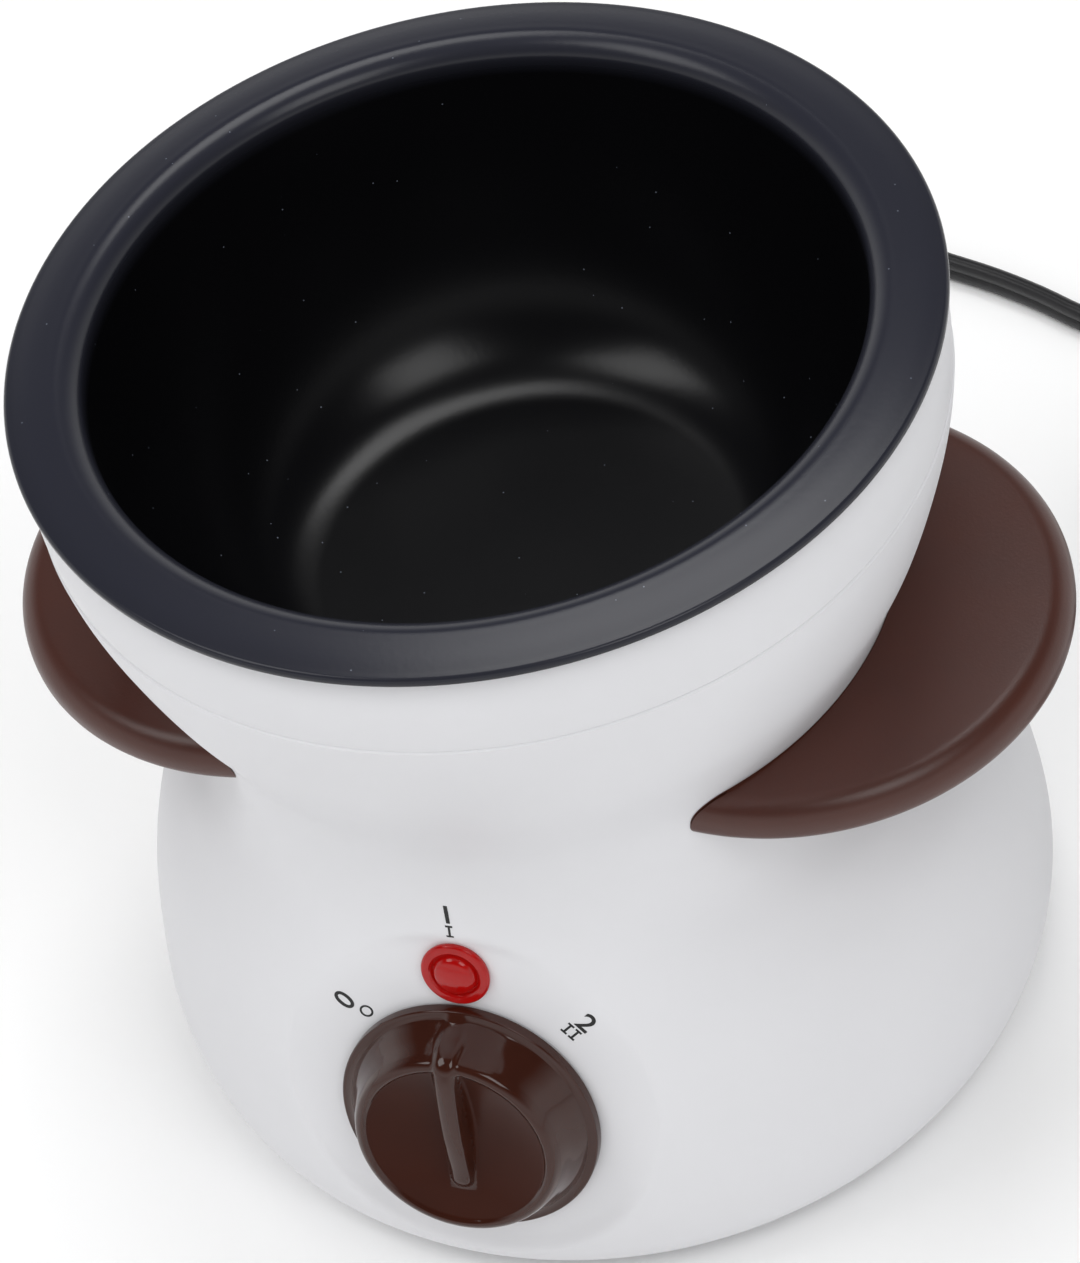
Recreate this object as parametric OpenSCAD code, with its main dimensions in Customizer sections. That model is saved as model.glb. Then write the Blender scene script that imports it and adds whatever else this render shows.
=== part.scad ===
// Electric fondue pot: a round heated base with two side wings, a control panel and a lift-out pot.
// Millimetres, +Z up. The origin is on the table under the middle of the pot; -Y is the front.

/* [Pot] */
// Outer radius of the pot's rim
rim_r = 70; // [66:0.5:76]
// Height of the rim's outer edge above the table
rim_z = 144.5; // [138:0.5:150]
// Width of the rim from its outer edge to the mouth
rim_w = 11.8; // [10:0.2:13]
// How much narrower the flat floor is than the mouth, on the radius
floor_in = 25.6; // [22:0.2:30]
// Depth from the foot of the lip to the floor inside
bowl_depth = 49.5; // [45:0.5:50]
// Thickness of the pot's sheet
pot_wall = 1.2; // [0.8:0.1:1.4]
// Bend radius of the lip on its upper side
lip_bend = 3; // [2:0.1:3]
// How much the rim's face drops from the lip to its outer edge
rim_fall = 1.1; // [0.6:0.1:1.6]
// Height of the turned-down edge round the rim
rim_edge_h = 1.4; // [1.3:0.1:2]
// Rounding at the top of that edge
rim_edge_bend = 0.8; // [0.4:0.1:1]

/* [Housing] */
// Height of the housing's lower edge above the table
base_z = 2; // [1.5:0.1:3]
// How far the widest place, low on the housing, stands out past the rim
bulge_out = 3.6; // [2.6:0.1:6]
// How far the waist stands in from the rim's edge
waist_in = 14.4; // [12:0.2:15]
// Height of the waist
waist_z = 82; // [80:0.5:84]
// How far the widest place under the rim stands in from the rim's edge
crown_in = 0.6; // [0.2:0.1:1]
// Gap between the top of the collar and the pot's edge
rim_gap = 0.3; // [0.2:0.1:0.6]
// Wall of the housing and the collar
wall = 2.2; // [1.8:0.1:2.6]
// Height of the joint between housing and collar
seam_z = 128; // [127:0.1:130]
// Height of the lip that locates the collar
spigot_h = 3; // [2:0.5:4]
// Thickness of that lip
spigot_t = 0.9; // [0.6:0.1:1.1]
// Clearance between pieces that are pushed together
push_gap = 0.1; // [0.05:0.05:0.2]

/* [Collar] */
// Gap round the pot in the ledge under its rim
collar_gap = 1; // [0.6:0.1:2]
// Thickness of that ledge
collar_ledge_t = 2; // [1.5:0.1:2.5]
// How far the skirt that holds the well down stands in from the flange's edge
skirt_in = 1.5; // [1.3:0.1:2]
// Thickness of the skirt
skirt_t = 1.8; // [1.2:0.1:2]

/* [Well] */
// Gap between pot and well round the sides
well_gap = 1; // [0.8:0.1:1.2]
// Gap between the pot's floor and the well's floor
seat_gap = 0.3; // [0.2:0.1:0.6]
// Thickness of the well's sheet
well_t = 0.8; // [0.6:0.1:1]
// Width of the well's flange on its ledge
well_flange_w = 4.6; // [4:0.1:4.8]
// How far the flange lies below the housing's upper joint
well_drop = 2.7; // [2:0.1:3.5]
// Thickness of the ledge in the housing that carries the flange
ledge_t = 2.2; // [1.6:0.1:3]
// Gap between the well and that ledge
ledge_gap = 1.2; // [0.8:0.1:1.6]

/* [Heater] */
// How much smaller than the pot's floor the plate that spreads the heat is, on the radius
spreader_in = 1; // [0:0.5:3]
// Thickness of that plate
spreader_t = 3; // [2.6:0.1:4]
// How much smaller the mica sheets are than that plate, on the radius
mica_in = 1.5; // [1:0.1:2]
// Thickness of one mica sheet
mica_t = 0.5; // [0.4:0.1:0.8]
// Thickness of the resistance ribbon
ribbon_t = 0.4; // [0.3:0.1:0.6]
// Width of the resistance ribbon
ribbon_w = 2.4; // [2:0.1:2.6]
// Number of rings of ribbon
ribbon_rings = 4; // [3:1:4]
// Distance from one ring of ribbon to the next
ribbon_step = 4; // [3.8:0.1:4.2]
// Radius of the innermost ring's middle
ribbon_r = 7; // [6.6:0.1:7.4]
// How far the steel plate under the mica stands past it
clamp_plate_out = 0.5; // [0:0.1:1]
// Thickness of the steel plate
clamp_plate_t = 1; // [0.8:0.1:1.5]
// Distance of the long screws from the edge of the mica
stud_in = 5.5; // [4.5:0.5:6]
// Length of the spacers over the heat shield
spacer_l = 14; // [13:0.5:16]
// Outer radius of a spacer
spacer_r = 3; // [2.8:0.1:3.4]
// Gap between the heat shield and the waist's wall
shield_gap = 9.4; // [9:0.1:12]
// Thickness of the heat shield
shield_t = 0.6; // [0.5:0.1:1]
// Height of the heat shield's turned-up edge
shield_lip_h = 4; // [3:0.5:6]
// Radius of the thermostat's can
thermostat_r = 8; // [7.5:0.1:8.5]
// Height of the thermostat's can
thermostat_h = 9; // [8:0.5:10]
// Distance of the thermostat from the middle
thermostat_at = 10; // [9.6:0.1:11]
// Distance of the thermal fuse from the middle
fuse_at = 14; // [13:0.5:15]
// Radius of the thermal fuse's body
fuse_r = 1.6; // [1.4:0.1:1.8]
// Length of the thermal fuse's body
fuse_l = 11; // [10:0.5:12]

/* [Screws] */
// Radius of the small screws' shanks
screw_r = 1.45; // [1.3:0.05:1.5]
// Clearance of a screw in its hole
screw_gap = 0.05; // [0.02:0.01:0.1]
// Radius of the small screws' heads
screw_head_r = 2.8; // [2.6:0.1:3]
// Height of a round screw head
screw_head_h = 1.8; // [1.5:0.1:2.2]

/* [Handles] */
// Radius of each wing's round edge
wing_r = 43; // [41:0.2:44]
// How far inside the waist the middle of that circle lies
wing_in = 14.5; // [13:0.1:16]
// Height of the wing's underside
wing_z = 83; // [82:0.5:84]
// Thickness of the wing
wing_t = 7.6; // [7:0.1:8]
// Rounding of the wing's upper edge
wing_top_bend = 4; // [3:0.1:4.2]
// Rounding of the wing's lower edge
wing_under_bend = 2.4; // [1.5:0.1:2.4]
// Distance of the fixing screws from the middle plane
wing_screw_y = 13; // [11:0.5:15]
// Radius of the screw pads inside the housing
wing_pad_r = 3.4; // [3.2:0.1:3.4]
// How far the pads stand in from the waist's inside
wing_pad_in = 3.6; // [3.4:0.1:4]
// How deep the screws reach into the wing
wing_screw_grip = 11; // [9:0.5:12]

/* [Control panel] */
// How deep the panel's face lies in the widest place, at the knob's axis
panel_in = 8.8; // [8.4:0.1:9.4]
// Height of the knob's axis where it leaves the panel
panel_z = 37.1; // [36:0.1:38]
// Backward tilt of the panel
panel_tilt = 15; // [14:0.5:16]
// Margin of the flat face past the lamp
panel_margin = 1.2; // [0.8:0.1:1.6]
// Height of the flat face's middle over the knob's axis
panel_rise = 3; // [2.5:0.1:3.5]
// Side of the square switch body
switch_w = 22; // [20:0.5:24]
// Depth of the switch body
switch_d = 15; // [14:0.5:17]
// Radius of the switch's neck in the panel
neck_r = 4.4; // [4.2:0.1:4.8]
// Radius of the switch's shaft
shaft_r = 3; // [2.8:0.1:3.2]
// Running clearance round the shaft
shaft_gap = 0.05; // [0.03:0.01:0.08]
// Distance of the switch's fixing screws from the shaft
switch_screw_x = 8; // [7.6:0.1:8.4]
// Distance from one of the switch's flat terminals to the next
blade_step = 6; // [5:0.5:7]
// Width of a flat terminal
blade_w = 4.8; // [4:0.1:5]
// Thickness of a flat terminal
blade_t = 0.8; // [0.6:0.1:1]
// Length of a flat terminal
blade_l = 7; // [6:0.5:8]

/* [Knob] */
// Radius of the knob's skirt
knob_r = 20.7; // [20:0.1:20.9]
// Radius of the raised lip round the face
knob_lip_r = 15.9; // [15:0.1:17]
// Height of the lip over the panel
knob_h = 9.6; // [8.6:0.1:11]
// Depth of the dished face below the lip
knob_dish = 3.2; // [2.4:0.1:3.6]
// Thickness of the skirt's rim
knob_rim_t = 1.8; // [1.4:0.1:2.4]
// Step between the skirt and the tapered body
knob_step = 1.6; // [1:0.1:2]
// Gap between the knob and the panel
knob_gap = 0.5; // [0.4:0.1:1]
// Wall of the knob
knob_wall = 1.8; // [1.5:0.1:2]
// Radius of the hub on the shaft
hub_r = 5; // [4.6:0.1:5.4]
// Width of the grip across the face
fin_w = 3.8; // [3.2:0.1:4.4]
// Height of the grip's crest over the lip
fin_rise = 1.3; // [0.8:0.1:2]
// Reach of the grip downwards from the axis
fin_foot = 9.4; // [8.5:0.1:10.5]

/* [Lamp] */
// Radius of the lens
lens_r = 5.5; // [5:0.1:5.6]
// Gap between the lens and the knob's skirt
lens_gap = 0.6; // [0.4:0.1:1]
// Height of the lens over the panel
lens_h = 2.2; // [1.8:0.1:2.6]
// Radius of the lens's stem
lens_stem_r = 4.1; // [3.9:0.1:4.4]
// Length of the stem behind the panel's face
lens_stem_l = 9; // [8:0.5:10]
// Radius of the lamp's glass
bulb_r = 2.2; // [2:0.1:2.4]
// Length of the lamp's glass
bulb_l = 9; // [8:0.5:10]
// Outer radius of the push-on ring behind the panel
push_ring_r = 6.4; // [6:0.1:7]
// Thickness of the push-on ring
push_ring_t = 0.8; // [0.6:0.1:1]

/* [Base] */
// Thickness of the base plate
plate_t = 2.5; // [2.2:0.1:3]
// Gap between the base plate and the housing
plate_gap = 0.3; // [0.2:0.1:0.5]
// Distance of the base screws from the housing's wall
base_screw_in = 9.2; // [8:0.1:10]
// Radius of a screw boss in the housing
boss_r = 4; // [3.6:0.1:4.5]
// Height of a screw boss
boss_h = 13; // [11:0.5:15]
// Thickness of the rib behind a boss
rib_t = 2; // [1.6:0.1:2.4]
// Radius of a rubber foot
foot_r = 6.5; // [6:0.1:7.5]
// Distance of the feet's middles from the housing's wall
foot_from_wall = 13.2; // [12:0.1:16]
// How deep the feet sit in the base plate
foot_in = 0.6; // [0.4:0.1:0.9]
// Number of cooling slots
slot_n = 5; // [3:1:5]
// Length of a cooling slot
slot_l = 30; // [24:1:34]
// Width of a cooling slot
slot_w = 3; // [2.5:0.1:3.5]
// Distance from one slot to the next
slot_step = 6.5; // [6:0.1:7]
// Distance of the first slot from the middle
slot_at = 6; // [5:0.5:8]

/* [Supply] */
// Width of the flat mains lead
cord_w = 5.4; // [5:0.1:5.8]
// Thickness of the flat mains lead
cord_t = 3.3; // [3:0.1:3.6]
// Height of the lead's axis where it leaves the housing
exit_z = 12; // [11.5:0.1:12.5]
// Radius of the bushing in the housing's wall
gland_r = 4.6; // [4.2:0.1:5]
// Radius of the bushing's flanges
gland_flange_r = 6.6; // [6:0.1:7]
// Thickness of a bushing flange
gland_flange_t = 1.8; // [1.5:0.1:2.2]
// Y of the outer end of the bushing's tapered tail
gland_end_y = 97; // [96.5:0.1:97]
// Radius of the tail's end
gland_tip_r = 3.5; // [3.4:0.1:3.8]
// Distance of the cord clamp's middle from the housing's wall
clamp_in = 10.2; // [9.5:0.1:11]
// Distance of the clamp's screws from the lead
clamp_screw_x = 8.5; // [8:0.1:9]
// Thickness of the clamp's bar
clamp_t = 3; // [2.5:0.1:3.5]
// Depth of the clamp's bar along the lead
clamp_d = 7; // [6.5:0.1:7.5]
// Number of poles in the terminal block
pole_n = 3; // [3:1:3]
// Distance from one pole to the next
pole_step = 8; // [7.6:0.1:8.2]
// Depth of the terminal block along the wires
block_d = 15; // [14:0.5:15]
// Height of the terminal block
block_h = 11; // [10.5:0.1:12]
// Y of the terminal block's middle
block_y = 28; // [27.5:0.1:28.5]
// Radius of the wire holes
pole_bore_r = 1.6; // [1.5:0.1:1.8]
// Radius of an insulated wire inside the base
wire_r = 1; // [0.8:0.1:1.1]

/* [Coil] */
// Radius of the outermost turn's middle
coil_r = 33.5; // [33.2:0.1:34]
// Distance between neighbouring turns
coil_step = 4.1; // [4:0.1:4.2]
// Distance between the two layers
coil_layer = 6; // [5.9:0.1:6.2]
// Length of the straight lead between the coil and the plug
coil_lead_l = 34; // [32:0.5:36]
// Thickness of the tie
tie_t = 0.8; // [0.6:0.1:0.8]
// Width of the tie
tie_w = 9; // [7:0.5:11]

/* [Plug] */
// Width of the plug's face
plug_w = 35.3; // [34:0.1:36]
// Thickness of the plug
plug_t = 13.7; // [13:0.1:13.7]
// Length of the plug's body
plug_l = 34; // [30:0.5:36]
// Length of the straight part behind the face
plug_face_l = 12; // [10:0.5:14]
// Width of the plug's rear
plug_rear_w = 13; // [12:0.5:15]
// Rounding of the plug's edges
plug_bend = 2.5; // [1.5:0.1:3]
// Length of the plug's own bend relief
plug_tail_l = 12; // [10:0.5:14]
// Radius of a contact pin
pin_r = 2; // [2:0.1:2.4]
// Length of a contact pin
pin_l = 19; // [18:0.5:19]
// Length of the pin's insulated part
pin_sleeve_l = 10; // [9:0.5:10]
// Distance between the pins
pin_step = 18.6; // [18:0.1:19.2]

/* [Hidden] */
$fn = 72;

// Overrun of a cut past the face that it opens
over = 1;
// Small gap between pieces that only lie against each other
rest_gap = 0.3;

// Outline of the housing, as [share of the height, share of the swell over the waist]
lower_shares = [[0, 0.655], [0.08, 0.905], [0.19, 1], [0.325, 0.95], [0.475, 0.84],
                [0.61, 0.645], [0.725, 0.36], [0.82, 0.117], [0.91, 0.017]];
upper_shares = [[0, 0], [0.12, 0.07], [0.245, 0.275], [0.37, 0.52], [0.52, 0.745],
                [0.67, 0.92], [0.81, 1], [0.91, 0.985], [1, 0.87]];
curve_steps = 3;
bowl_steps = 14;
bend_steps = 5;

mouth_r = rim_r - rim_w;
floor_r = mouth_r - floor_in;
bulge_r = rim_r + bulge_out;
waist_r = rim_r - waist_in;
crown_r = rim_r - crown_in;
outside_r = max(bulge_r, rim_r) + over;
panel_y = bulge_r - panel_in;
lens_up = knob_r + lens_gap + lens_r;
panel_r = lens_up + lens_r - panel_rise + panel_margin;

lip_z = rim_z + rim_fall - lip_bend;
rim_under_z = rim_z - rim_edge_h;
collar_z = rim_under_z - rim_gap;
pot_floor_z = lip_z - bowl_depth;
well_floor_z = pot_floor_z - pot_wall - seat_gap;
flange_z = seam_z - well_drop;
plate_z = base_z + plate_t;

// Points of a smooth curve through the points p
function curve_at(p0, p1, p2, p3, t) =
    0.5 * (2 * p1 + (p2 - p0) * t + (2 * p0 - 5 * p1 + 4 * p2 - p3) * t * t
           + (3 * p1 - p0 - 3 * p2 + p3) * t * t * t);
function smooth(p, steps) = let (last = len(p) - 1) [
    for (i = [0 : last - 1], k = [0 : steps - 1])
        curve_at(p[max(i - 1, 0)], p[i], p[i + 1], p[min(i + 2, last)], k / steps),
    p[last]];
function arc(middle, r, from, to, steps) =
    [for (i = [0 : steps]) let (a = from + (to - from) * i / steps) middle + r * [cos(a), sin(a)]];
function turned(list) = [for (i = [len(list) - 1 : -1 : 0]) list[i]];

body_curve = smooth(concat(
    [for (s = lower_shares) [waist_r + s[1] * (bulge_r - waist_r), base_z + s[0] * (waist_z - base_z)]],
    [for (s = upper_shares) [waist_r + s[1] * (crown_r - waist_r), waist_z + s[0] * (collar_z - waist_z)]]),
    curve_steps);
base_inner_r = body_curve[0][0] - wall;
base_screw_at = base_inner_r - base_screw_in;
foot_at = base_inner_r - foot_from_wall;
clamp_y = base_inner_r - clamp_in;

// The housing's round outline, drawn in from its outside by inset
module body_outline(inset) {
    polygon(concat([[0, base_z]], [for (p = body_curve) [p[0] - inset, p[1]]], [[0, collar_z]]));
}

// A band of the outline's wall between two insets and two heights
module body_band(outer, inner, low, high) {
    intersection() {
        difference() {
            body_outline(outer);
            body_outline(inner);
        }
        translate([0, low]) square([outside_r, high - low]);
    }
}

module ring_2d(r_in, r_out, low, high) {
    translate([r_in, low]) square([r_out - r_in, high - low]);
}

// The panel's own frame: x to the right, y up the panel, z out of it
module on_panel() {
    translate([0, -panel_y, panel_z]) rotate([90 - panel_tilt, 0, 0]) children();
}

panel_out = [0, -cos(panel_tilt), sin(panel_tilt)];
panel_up = [0, sin(panel_tilt), cos(panel_tilt)];

module panel_cutter(inset) {
    on_panel() translate([0, panel_rise, -inset]) cylinder(r = panel_r + inset, h = outside_r);
}

// The pot's side between floor and lip: a quarter of an ellipse, grown by out sideways and down below
function bowl_side(out, down) = [for (i = [0 : bowl_steps]) let (a = 90 * i / bowl_steps)
    [floor_r + (mouth_r + out - floor_r) * sin(a), lip_z - (bowl_depth + down) * cos(a)]];

lip_middle = [mouth_r + lip_bend, lip_z];
rim_slope = atan(rim_fall / (rim_r - mouth_r - lip_bend));

module pot() {
    color("#23252b") rotate_extrude() polygon(concat(
        [[0, pot_floor_z]],
        bowl_side(0, 0),
        arc(lip_middle, lip_bend, 180, 90 - rim_slope, bend_steps),
        arc([rim_r - rim_edge_bend, rim_z - rim_edge_bend], rim_edge_bend, 90 - rim_slope, 0, bend_steps),
        [[rim_r, rim_under_z], [rim_r - pot_wall, rim_under_z],
         [rim_r - pot_wall, rim_z - pot_wall]],
        turned(arc(lip_middle, lip_bend - pot_wall, 180, 90 - rim_slope, bend_steps)),
        turned(bowl_side(pot_wall, pot_wall)),
        [[0, pot_floor_z - pot_wall]]));
}

module well_side_2d() {
    difference() {
        polygon(concat([[0, well_floor_z - well_t]],
            bowl_side(pot_wall + well_gap + well_t, pot_wall + seat_gap + well_t), [[0, lip_z]]));
        polygon(concat([[0, well_floor_z]],
            bowl_side(pot_wall + well_gap, pot_wall + seat_gap), [[0, lip_z]]));
    }
}

well_mouth_share = sqrt(1 - pow((lip_z - flange_z) / (bowl_depth + pot_wall + seat_gap + well_t), 2));
well_mouth_r = floor_r + (mouth_r + pot_wall + well_gap + well_t / 2 - floor_r) * well_mouth_share;
ledge_r = well_mouth_r + well_t / 2 + ledge_gap;
well_flange_r = ledge_r + well_flange_w;
skirt_r = well_flange_r - skirt_in;

module inner_well() {
    color("#b9bcc0") rotate_extrude() {
        intersection() {
            well_side_2d();
            ring_2d(0, outside_r, well_floor_z - well_t, flange_z + well_t);
        }
        ring_2d(well_mouth_r, well_flange_r, flange_z, flange_z + well_t);
    }
}

// Places of the three base screws and the four feet
base_screw_angles = [-90, 30, 150];
foot_angles = [45, 135, 225, 315];
wing_x = waist_r - wing_in;
wing_pad_x = waist_r - wall - wing_pad_in;
wing_screw_z = wing_z + wing_t / 2;
wing_screw_end = waist_r + wing_screw_grip;

module housing_solid() {
    difference() {
        rotate_extrude() intersection() {
            body_outline(0);
            ring_2d(0, outside_r, base_z, seam_z);
        }
        panel_cutter(0);
    }
}

module wing_screw_places() {
    for (side = [0, 180], y = [-wing_screw_y, wing_screw_y])
        rotate([0, 0, side]) translate([0, y, wing_screw_z]) rotate([0, 90, 0]) children();
}

module housing() {
    color("#f1f1f2") difference() {
        union() {
            difference() {
                housing_solid();
                housing_cavity();
            }
            rotate_extrude() {
                body_band(wall - spigot_t, wall, seam_z - spigot_h, seam_z + spigot_h);
                intersection() {
                    body_outline(wall / 2);
                    ring_2d(ledge_r, outside_r, flange_z - ledge_t, flange_z);
                }
            }
            intersection() {
                housing_solid();
                union() {
                    base_bosses();
                    wing_pads();
                }
            }
        }
        for (a = base_screw_angles) rotate([0, 0, a]) translate([base_screw_at, 0, plate_z - over])
            cylinder(r = screw_r + screw_gap, h = boss_h + over - wall);
        wing_screw_places() translate([0, 0, wing_pad_x - over])
            cylinder(r = screw_r + screw_gap, h = wall + wing_pad_in + over + wall);
        on_panel() {
            translate([0, 0, -wall - over]) cylinder(r = neck_r + push_gap, h = wall + 2 * over);
            translate([0, lens_up, -wall - over])
                cylinder(r = lens_stem_r + push_gap, h = wall + 2 * over);
            for (x = [-switch_screw_x, switch_screw_x]) translate([x, 0, -wall - over])
                cylinder(r = screw_r + screw_gap, h = wall + 2 * over);
        }
        translate([0, 0, exit_z]) rotate([-90, 0, 0]) cylinder(r = gland_r + push_gap, h = outside_r);
    }
}

// The hollow inside the housing, open at the bottom and at the top
module housing_cavity() {
    difference() {
        rotate_extrude() {
            body_outline(wall);
            ring_2d(0, base_inner_r, base_z - over, base_z + over);
            ring_2d(0, ledge_r, seam_z - over, seam_z + over);
        }
        panel_cutter(wall);
    }
}

module base_bosses() {
    for (a = base_screw_angles) rotate([0, 0, a]) {
        translate([base_screw_at, 0, plate_z]) cylinder(r = boss_r, h = boss_h);
        translate([base_screw_at, -rib_t / 2, plate_z]) cube([bulge_r - base_screw_at, rib_t, boss_h]);
    }
}

module wing_pads() {
    wing_screw_places() translate([0, 0, wing_pad_x]) cylinder(r = wing_pad_r, h = wing_pad_in + wall);
}

module collar_ring() {
    color("#f1f1f2") rotate_extrude() {
        body_band(0, wall - spigot_t - push_gap, seam_z, seam_z + spigot_h + 2 * push_gap);
        body_band(0, wall, seam_z + spigot_h + push_gap, collar_z);
        intersection() {
            body_outline(0);
            ring_2d(mouth_r + pot_wall + collar_gap, outside_r, collar_z - collar_ledge_t, collar_z);
        }
        ring_2d(skirt_r - skirt_t / 2, skirt_r + skirt_t / 2,
                flange_z + well_t, collar_z - collar_ledge_t / 2);
    }
}

spreader_r = floor_r - spreader_in;
mica_r = spreader_r - mica_in;
clamp_plate_r = mica_r + clamp_plate_out;
stud_circle_r = mica_r - stud_in;
shield_r = waist_r - wall - shield_gap;

// The heater's stack, each height worked out from the one above
spreader_z = well_floor_z - well_t - spreader_t;
upper_mica_z = spreader_z - mica_t;
ribbon_z = upper_mica_z - ribbon_t;
lower_mica_z = ribbon_z - mica_t;
clamp_plate_z = lower_mica_z - clamp_plate_t;
shield_z = clamp_plate_z - spacer_l - shield_t;
stud_angles = [90, 210, 330];

module stud_places() {
    for (a = stud_angles) rotate([0, 0, a]) translate([stud_circle_r, 0, 0]) children();
}

module stud_holes(low, high) {
    stud_places() translate([0, 0, low]) cylinder(r = screw_r + screw_gap, h = high - low);
}

module heater_plate() {
    color("#c6c9cc") difference() {
        translate([0, 0, spreader_z]) cylinder(r = spreader_r, h = spreader_t);
        stud_holes(spreader_z - over, spreader_z + spreader_t * 0.7);
    }
}

module mica_sheets() {
    color("#b8a27a") difference() {
        union() for (z = [upper_mica_z, lower_mica_z]) translate([0, 0, z]) cylinder(r = mica_r, h = mica_t);
        stud_holes(lower_mica_z - over, spreader_z + over);
    }
}

// Rings of ribbon, open on one side and joined in turn into one path
ribbon_break_angles = [0, 12];
ribbon_link_angles = [-18, 30];
module heating_element() {
    color("#8d8f93") translate([0, 0, ribbon_z]) union() {
        for (k = [0 : ribbon_rings - 1]) linear_extrude(ribbon_t) difference() {
            circle(r = ribbon_r + k * ribbon_step + ribbon_w / 2);
            circle(r = ribbon_r + k * ribbon_step - ribbon_w / 2);
            rotate(ribbon_break_angles[k % 2]) translate([0, -ribbon_w / 2]) square([mica_r, ribbon_w]);
        }
        for (k = [0 : ribbon_rings - 2]) rotate(ribbon_link_angles[k % 2])
            translate([ribbon_r + k * ribbon_step, -ribbon_w / 2, 0])
                cube([ribbon_step, ribbon_w, ribbon_t]);
    }
}

module element_clamp() {
    color("#a9acb0") difference() {
        translate([0, 0, clamp_plate_z]) cylinder(r = clamp_plate_r, h = clamp_plate_t);
        stud_holes(clamp_plate_z - over, clamp_plate_z + clamp_plate_t + over);
    }
}

module heater_screws() {
    color("#c9ccd0") stud_places() {
        translate([0, 0, shield_z]) cylinder(r = screw_r, h = spreader_z + spreader_t * 0.6 - shield_z);
        translate([0, 0, shield_z - screw_head_h]) cylinder(r = screw_head_r, h = screw_head_h);
    }
}

module shield_spacers() {
    color("#d7d9db") stud_places() translate([0, 0, shield_z + shield_t]) difference() {
        cylinder(r = spacer_r, h = spacer_l);
        translate([0, 0, -over]) cylinder(r = screw_r + screw_gap, h = spacer_l + 2 * over);
    }
}

module heat_shield() {
    color("#cfd2d5") translate([0, 0, shield_z]) difference() {
        rotate_extrude() {
            ring_2d(0, shield_r, 0, shield_t);
            ring_2d(shield_r - shield_t, shield_r, 0, shield_lip_h);
        }
        stud_holes(-over, shield_t + over);
    }
}

thermostat_flange_t = 1.2;
thermostat_cap_share = 0.45;
thermostat_cap_r = thermostat_r * 0.8;
thermostat_blade_l = blade_l * 0.7;

module thermostat() {
    color("#3a3a3e") translate([thermostat_at, 0, clamp_plate_z - thermostat_h]) {
        translate([0, 0, thermostat_h * thermostat_cap_share])
            cylinder(r = thermostat_r, h = thermostat_h * (1 - thermostat_cap_share) - thermostat_flange_t);
        cylinder(r = thermostat_cap_r, h = thermostat_h * thermostat_cap_share);
        translate([0, 0, thermostat_h - thermostat_flange_t])
            cylinder(r = thermostat_r * 1.05, h = thermostat_flange_t);
        for (y = [-thermostat_cap_r - thermostat_blade_l, thermostat_cap_r])
            translate([-blade_w / 2, y, blade_t]) cube([blade_w, thermostat_blade_l, blade_t]);
    }
}

fuse_lead_r = 0.5;

module thermal_fuse() {
    color("#d8d3c4") translate([-fuse_at, 0, clamp_plate_z - fuse_r - rest_gap / 2])
        rotate([90, 0, 0]) union() {
            translate([0, 0, -fuse_l / 2]) cylinder(r = fuse_r, h = fuse_l);
            translate([0, 0, -fuse_l]) cylinder(r = fuse_lead_r, h = 2 * fuse_l, $fn = 24);
        }
}

// Section of a wing's round edge, from its middle outwards
function wing_edge() = concat(
    [[0, 0]],
    arc([wing_r - wing_under_bend, wing_under_bend], wing_under_bend, -90, 0, bend_steps),
    arc([wing_r - wing_top_bend, wing_t - wing_top_bend], wing_top_bend, 0, 90, bend_steps),
    [[0, wing_t]]);

module wing(side) {
    rotate([0, 0, side]) difference() {
        translate([wing_x, 0, wing_z]) rotate_extrude() polygon(wing_edge());
        rotate_extrude() intersection() {
            body_outline(-push_gap);
            ring_2d(0, outside_r, wing_z - over, wing_z + wing_t + over);
        }
        translate([-wing_r, -wing_r - over, wing_z - over])
            cube([wing_r, 2 * wing_r + 2 * over, wing_t + 2 * over]);
        for (y = [-wing_screw_y, wing_screw_y]) translate([waist_r - wall, y, wing_screw_z])
            rotate([0, 90, 0]) cylinder(r = screw_r + screw_gap, h = wall + wing_screw_grip + over);
    }
}

module handle_left() {
    color("#4b3330") wing(180);
}

module handle_right() {
    color("#4b3330") wing(0);
}

module handle_screws() {
    color("#c9ccd0") wing_screw_places() {
        translate([0, 0, wing_pad_x]) cylinder(r = screw_r, h = wing_screw_end - wing_pad_x);
        translate([0, 0, wing_pad_x - screw_head_h]) cylinder(r = screw_head_r, h = screw_head_h);
    }
}

shaft_in = switch_d * 0.7;
shaft_out = knob_h - knob_dish - knob_wall;
knob_body_z = knob_gap + knob_rim_t;
knob_side_r = knob_r - knob_step;

module knob_shell_2d() {
    lip_t = knob_wall * 0.6;
    polygon(concat(
        [[0, knob_h - knob_dish]],
        arc([0, knob_h - knob_dish + pow(knob_lip_r, 2) / (2 * knob_dish)],
            pow(knob_lip_r, 2) / (2 * knob_dish), -90,
            -90 + asin((knob_lip_r - lip_t) / (pow(knob_lip_r, 2) / (2 * knob_dish))), bend_steps),
        [[knob_lip_r - lip_t / 2, knob_h], [knob_lip_r, knob_h - lip_t / 2],
         [knob_side_r, knob_body_z], [knob_r, knob_body_z], [knob_r, knob_gap],
         [knob_side_r - knob_wall, knob_gap], [knob_lip_r - knob_wall, knob_h - knob_dish - knob_wall],
         [0, knob_h - knob_dish - knob_wall]]));
}

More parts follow.
